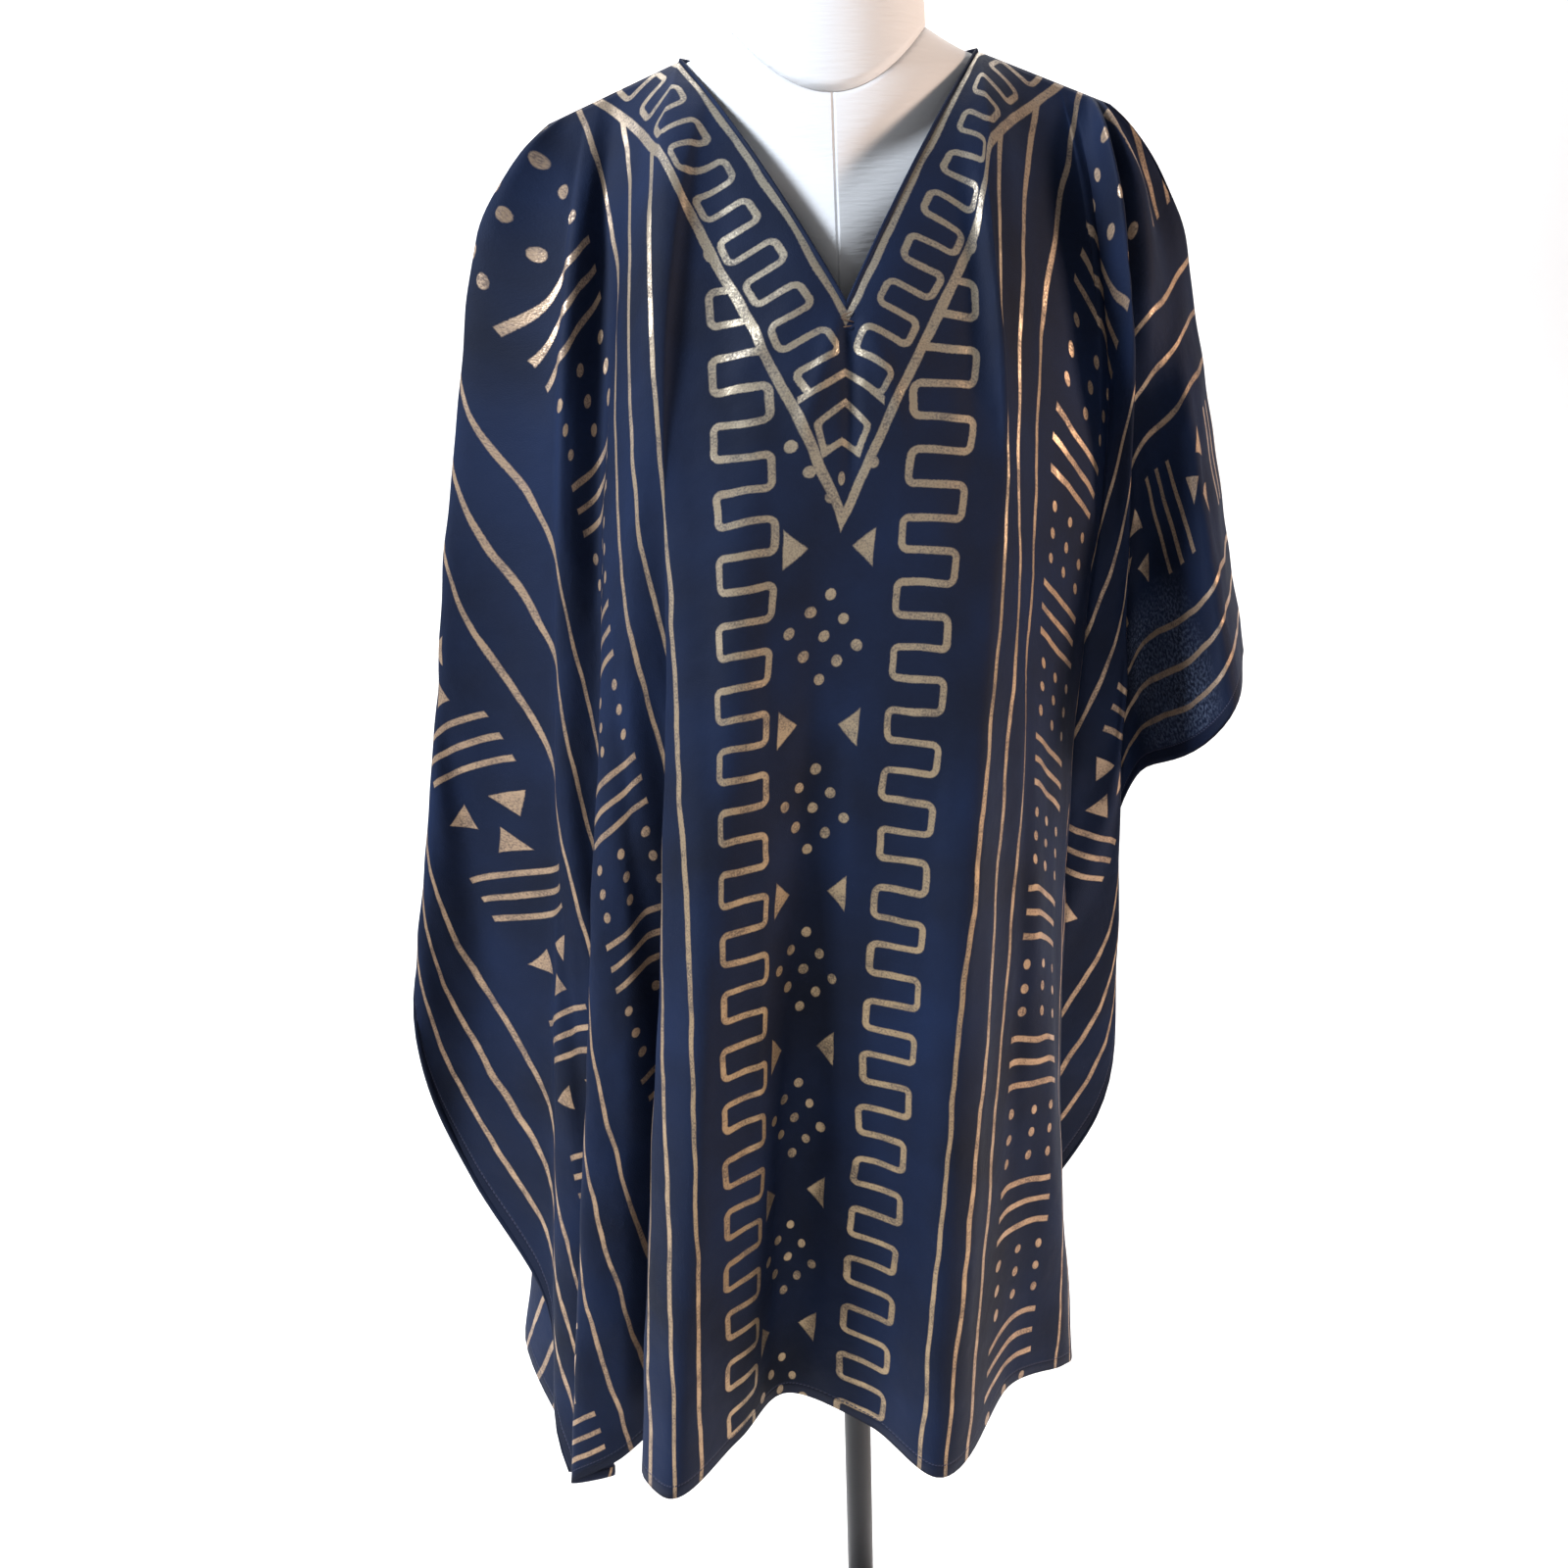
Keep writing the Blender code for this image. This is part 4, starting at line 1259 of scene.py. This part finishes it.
@dataclass(frozen=True)
class Kaftan:
    """The kaftan: two panels with turned edges, the rolled neck edge and its tack.

    Attributes:
        crepe: The cloth.
        stitches: Lean, distance below the point of the V, and width of the tack's stitches.
        thread: Radius of their thread.
    """

    crepe: Crepe = Crepe()
    stitches: tuple[tuple[float, float, float], ...] = (
        (0.4, 0.0040, 0.007),
        (-0.3, 0.0075, 0.008),
        (0.1, 0.0110, 0.006),
    )
    thread: float = 0.00035

    def panel(
        self, drape: Drape, points: np.ndarray, flats: np.ndarray, node: str
    ) -> bpy.types.Object:
        """One panel as a thin shell, its edges turned to the inside.

        The turned rows go back up the column from its edge by each distance of TURN, and inside
        it by each inset.

        Args:
            drape: The panel's hang.
            points: Its creased places.
            flats: Its flat places.
            node: The solid it stands for.

        Returns:
            The panel.
        """
        way = 1.0 if drape.panel is Panel.FRONT else -1.0
        outward = grid_normals(points)[:, -1] * way
        along = points[:, -1] - points[:, -2]
        along /= np.linalg.norm(along, axis=1)[:, None]
        flat_way = flats[:, -1] - flats[:, -2]
        flat_way /= np.linalg.norm(flat_way, axis=1)[:, None]
        turned = [points[:, -1] - along * up - outward * inset for up, inset in TURN]
        turned_flats = [flats[:, -1] - flat_way * up for up, _ in TURN]
        points = np.concatenate([points, np.stack(turned, axis=1)], axis=1)
        flats = np.concatenate([flats, np.stack(turned_flats, axis=1)], axis=1)
        if drape.panel is Panel.BACK:
            points, flats = points[::-1], flats[::-1]
        name = drape.panel.value
        obj = grid_mesh(f"kaftan_{name}", points, flats)
        shell = obj.modifiers.new("cloth", "SOLIDIFY")
        shell.thickness = CLOTH
        shell.offset = -1.0
        shell.material_offset = 1
        shell.material_offset_rim = 1
        outer = self.crepe.printed(f"crepe {name}", drape.panel)
        return dress(obj, [outer, self.crepe.plain(f"crepe inside {name}")], node)

    def neck_edge(self, drape: Drape) -> bpy.types.Object:
        """The narrow rolled edge of the neckline.

        An oval of the half axes of NECK_ROLL goes along the neckline's curve.

        Args:
            drape: The panel whose neckline it follows.

        Returns:
            The edge.
        """
        top = np.linspace(-NECK_HALF, NECK_HALF, NECK_STEPS + 1)
        flat_t, line = drape.starts(top)
        forward = np.gradient(line, axis=0)
        forward /= np.linalg.norm(forward, axis=1)[:, None]
        up = np.array([0.0, 0.0, 1.0]) - forward * forward[:, 2:]
        up /= np.linalg.norm(up, axis=1)[:, None]
        aside = np.cross(forward, up)
        angle = np.linspace(0.0, 2 * np.pi, NECK_SIDES + 1)[None, :-1, None]
        ring = line[:, None] + up[:, None] * NECK_ROLL[0] * np.cos(angle)
        ring = ring + aside[:, None] * NECK_ROLL[1] * np.sin(angle)
        flats = np.stack([top, flat_t], axis=1)[:, None] + np.zeros((1, NECK_SIDES, 2))
        points = ring.transpose(1, 0, 2)
        obj = grid_mesh(f"neck_edge_{drape.panel.value}", points, flats.transpose(1, 0, 2), True)
        cloth = self.crepe.plain(f"crepe neck edge {drape.panel.value}")
        return dress(obj, [cloth])

    def tack(self) -> bpy.types.Object:
        """Three short stitches across the point of the V, each a small bent tube.

        With a the share of its length, a stitch rises by 0.8 mm * sin(pi a).

        Returns:
            The stitches.
        """
        share = np.linspace(0.0, 1.0, 9)[:, None]
        angle = np.linspace(0.0, 2 * np.pi, 7)[None, :-1]
        lean, drop, wide = np.array(self.stitches).T[:, :, None, None]
        radius = self.thread * np.sqrt(np.minimum(4 * share * (1 - share) + 0.05, 1.0))
        x = (share - 0.5) * wide + radius * 0.2 * np.cos(angle)
        z = (share - 0.5) * wide * lean - drop + radius * np.cos(angle)
        y = radius * np.sin(angle) - 0.0016 - 0.0008 * np.sin(np.pi * share) - drop * 0.20
        points = np.stack(np.broadcast_arrays(x, y, z), axis=-1) + V_BOTTOM
        obj = grid_mesh("tack", points.transpose(0, 2, 1, 3), None, True)
        return dress(obj, [THREAD.build()])

    def build(self, rests_on: bpy.types.Object) -> None:
        """Makes all the pieces.

        Args:
            rests_on: The dress form's torso. Not used.
        """
        front = Drape(Panel.FRONT, FRONT_LINES, FRONT_CREASES)
        back = Drape(Panel.BACK, BACK_LINES, BACK_CREASES)
        front_points, front_flats, front_edge = front.surface()
        back_points, back_flats, back_edge = back.surface()
        back_points = join_seams(front_points, front_edge, back_points, back_edge)
        for drape, points, flats, cut_out in (
            (front, front_points, front_flats, NECK_HALF * V_DEPTH),
            (back, back_points, back_flats, NECK_HALF * BACK_NECK_DEPTH * 4 / 3),
        ):
            node = f"{drape.panel.value}_panel"
            piece = self.panel(drape, drape.creased(points, flats), flats, node)
            sewn_on = [self.neck_edge(drape)]
            if drape.panel is Panel.FRONT:
                sewn_on.append(self.tack())
            2 * HALF_WIDTH * LENGTH - cut_out


@dataclass(frozen=True)
class DressForm:
    """The limbless form: torso and neck, in off-white linen.

    Attributes:
        sides: Columns round it.
        levels: Rows for each gap between two rings of the table.
        rim: Share of the neck's height above which its edge is rounded off.
    """

    sides: int = 128
    levels: int = 6
    rim: float = 0.86

    def ring(self, rings: dict[str, np.ndarray]) -> np.ndarray:
        """Places round every level.

        With a the angle from the front, x = half_width * sin(a) and y = -depth * cos(a), each
        share raised to 2 / fullness, and the height goes from side_z to the end's own height
        with cos(a)^2.

        Args:
            rings: The table's values at each level, by name.

        Returns:
            Places [side, level, 3].
        """
        angle = -np.arange(self.sides)[:, None] * 2 * np.pi / self.sides
        ahead, aside = np.cos(angle), np.sin(angle)
        depth = np.where(ahead > 0, rings["front"], rings["back"])
        end_z = np.where(ahead > 0, rings["front_z"], rings["back_z"])
        power = 2 / rings["fullness"]
        x = rings["half_width"] * np.sign(aside) * np.abs(aside) ** power
        y = -depth * np.sign(ahead) * np.abs(ahead) ** power
        z = rings["side_z"] + (end_z - rings["side_z"]) * ahead**2
        return np.stack([x, y, z], axis=2)

    def closed(self, points: np.ndarray) -> np.ndarray:
        """The rings with flat ends, each drawn in to its centre in three steps.

        Args:
            points: Places [side, level, 3].

        Returns:
            The same with three more levels at both ends.
        """
        ends = []
        for ring in (points[:, 0], points[:, -1]):
            middle = ring.mean(axis=0)
            ends.append(np.stack([middle + (ring - middle) * k for k in (0.0, 0.5, 0.985)], axis=1))
        return np.concatenate([ends[0], points, ends[1][:, ::-1]], axis=1)

    def build(self) -> bpy.types.Object:
        """Makes the torso and the neck.

        The neck repeats the outline of the torso's top up to NECK_TOP. It is drawn in by up to
        4.5 % on the way, and by 11 % more at its rounded rim.

        Returns:
            The torso.
        """
        count = len(FORM_RINGS)
        at = np.linspace(0, count - 1, (count - 1) * self.levels + 1)
        knots = np.arange(count, dtype=float)
        names = ("side_z", "half_width", "front_z", "front", "back_z", "back", "fullness")
        points = self.ring(table_curves(FORM_RINGS, names, knots, at))
        torso = grid_mesh("torso", self.closed(points), None, True)
        dress(torso, [LINEN.build()], "form_torso")

        seam = points[:, 0] + np.array([0.0, 0.0, GAP])
        rise = np.concatenate([np.linspace(0.0, self.rim, 14), [0.92, 0.96, 0.985, 1.0]])[None, :]
        draw = 1 - 0.045 * np.sin(np.pi * np.clip(rise * 0.62, 0, 1)) ** 1.5
        draw = draw - 0.11 * np.clip((rise - self.rim) / (1 - self.rim), 0, 1) ** 3
        x = seam[:, :1] * draw
        y = seam[:, 1:2] * draw
        z = seam[:, 2:] + (NECK_TOP - seam[:, 2:]) * rise
        neck = grid_mesh("neck", self.closed(np.stack([x, y, z], axis=2)[:, ::-1]), None, True)
        dress(neck, [NECK_LINEN.build()], "form_neck")
        return torso


@dataclass(frozen=True)
class Stand:
    """The black pole, and the round plate that it stands on.

    Attributes:
        sides: Columns round them.
    """

    sides: int = 64

    def turned(self, name: str, node: str, profile: tuple[tuple[float, float], ...]) -> None:
        """Makes a turned piece.

        Each (radius, z) of the profile goes round +Z: x = r sin(a), y = -r cos(a).

        Args:
            name: Name of the piece.
            node: The solid that it stands for.
            profile: Radius and height of each ring, from the top down.
        """
        radius, height = np.array(profile).T
        angle = -np.arange(self.sides)[:, None] * 2 * np.pi / self.sides
        x, y = radius * np.sin(angle), -radius * np.cos(angle)
        points = np.stack([x, y, np.broadcast_to(height, x.shape)], axis=2)
        dress(grid_mesh(name, points, None, True), [STEEL.build()], node)

    def build(self) -> None:
        """Makes the pole and the plate."""
        r = POLE_RADIUS
        top, foot = FORM_RINGS[-1].side_z - GAP, BASE_HEIGHT + GAP
        pole = (
            (0.0, top),
            (r - 0.001, top),
            (r, top - 0.0014),
            (r, 0.30),
            (r, foot + 0.001),
            (r - 0.001, foot),
            (0.0, foot),
        )
        self.turned("pole", "stand_pole", pole)
        wide, tall = BASE_RADIUS, BASE_HEIGHT
        plate = (
            (0.0, tall),
            (wide - 0.006, tall),
            (wide - 0.003, tall - 0.0008),
            (wide - 0.001, tall - 0.0025),
            (wide, tall - 0.005),
            (wide, 0.001),
            (wide - 0.001, 0.0),
            (0.0, 0.0),
        )
        self.turned("plate", "stand_base", plate)


@dataclass(frozen=True)
class Lamp:
    """A soft area light and the point that it looks at.

    Attributes:
        name: Name of the lamp.
        place: Its place.
        size: Side of its square.
        power: Its power in watts.
        colour: Its colour.
        aim: The point that it looks at.
    """

    name: str
    place: tuple[float, float, float]
    size: float
    power: float
    colour: Colour
    aim: tuple[float, float, float] = (0.0, 0.0, 1.0)

    def build(self) -> None:
        """Makes the lamp."""
        data = bpy.data.lights.new(self.name, "AREA")
        data.shape = "SQUARE"
        data.size = self.size
        data.energy = self.power
        data.color = self.colour
        obj = bpy.data.objects.new(self.name, data)
        obj.location = self.place
        aim = Vector(self.aim) - obj.location
        obj.rotation_euler = aim.to_track_quat("-Z", "Y").to_euler()
        bpy.context.scene.collection.objects.link(obj)


LAMPS = (
    Lamp("sky window", (-2.3, -1.0, 2.7), 0.6, 150.0, (0.84, 0.91, 1.0)),
    Lamp("warm side", (2.4, -0.7, 1.3), 0.5, 55.0, (1.0, 0.74, 0.57)),
    Lamp("low fill", (-0.4, -2.8, 0.9), 1.6, 4.0, (1.0, 0.95, 0.90)),
    Lamp("backdrop wash", (0.0, 2.1, 3.4), 2.6, 125.0, (1.0, 1.0, 1.0), (0.0, 2.3, 0.0)),
)


@dataclass(frozen=True)
class Studio:
    """Pale floor that curves up behind, lamps, and the camera at the photo's angle.

    Attributes:
        eye: Place of the camera.
        pitch: How far it looks down, in degrees.
        roll: How far it is rolled, in degrees.
        lens: Its focal length in millimetres.
        reach: Half width, length in front and height of the backdrop.
        far: Y at which the floor begins to rise.
        bend: Radius of the rise.
        sky: Colour of the light from all round.
        sky_strength: Its strength.
    """

    eye: tuple[float, float, float] = (-0.0433, -1.037, 1.28)
    pitch: float = 19.0
    roll: float = 2.0
    lens: float = 34.875
    reach: float = 5.0
    far: float = 2.0
    bend: float = 1.2
    sky: Colour = (0.95, 0.97, 1.0)
    sky_strength: float = 0.13

    def backdrop(self) -> None:
        """A floor whose far side rises in a quarter circle.

        The profile is flat up to Y = far, then a quarter circle of radius bend, then upright.
        """
        turn = np.linspace(0.0, np.pi / 2, 25)
        rise_y = self.far + self.bend * np.sin(turn)
        y = np.concatenate([[-self.reach, 0.0], rise_y, rise_y[-1:]])
        z = np.concatenate([[0.0, 0.0], self.bend * (1 - np.cos(turn)), [self.reach]])
        x = np.array([[self.reach], [-self.reach]])
        floor = grid_mesh("floor", np.stack(np.broadcast_arrays(x, y, z), axis=2))
        floor.data.materials.append(FLOOR.build())
        floor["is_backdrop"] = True

    def build(self) -> None:
        """Makes the backdrop, the lamps, the world's light and the camera."""
        self.backdrop()
        for lamp in LAMPS:
            lamp.build()
        world = bpy.data.worlds.new("studio")
        world.use_nodes = True
        sky = world.node_tree.nodes["Background"]
        sky.inputs["Color"].default_value = (*self.sky, 1.0)
        sky.inputs["Strength"].default_value = self.sky_strength
        scene = bpy.context.scene
        scene.world = world
        scene.view_settings.view_transform = "Standard"
        data = bpy.data.cameras.new("camera")
        data.lens = self.lens
        data.sensor_width = 36.0
        data.dof.use_dof = False
        camera = bpy.data.objects.new("camera", data)
        camera.location = self.eye
        aim = Euler((math.radians(90 - self.pitch), 0.0, 0.0)).to_matrix()
        aim = aim @ Matrix.Rotation(math.radians(-self.roll), 3, "Z")
        camera.rotation_euler = aim.to_euler()
        scene.collection.objects.link(camera)
        scene.camera = camera


def plain_bounds() -> list[list[float]]:
    """The bounds of all pieces as plain lists."""
    return json.loads(json.dumps(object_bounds(), default=list))


def main() -> None:
    """Builds the dress form, the kaftan, the stand and the studio in order."""
    logging.basicConfig(level=logging.INFO, format="%(name)s: %(message)s")
    before = plain_bounds()
    torso = DressForm().build()
    Kaftan().build(torso)
    Stand().build()
    Studio().build()
    after = plain_bounds()


if __name__ == "__main__":
    main()
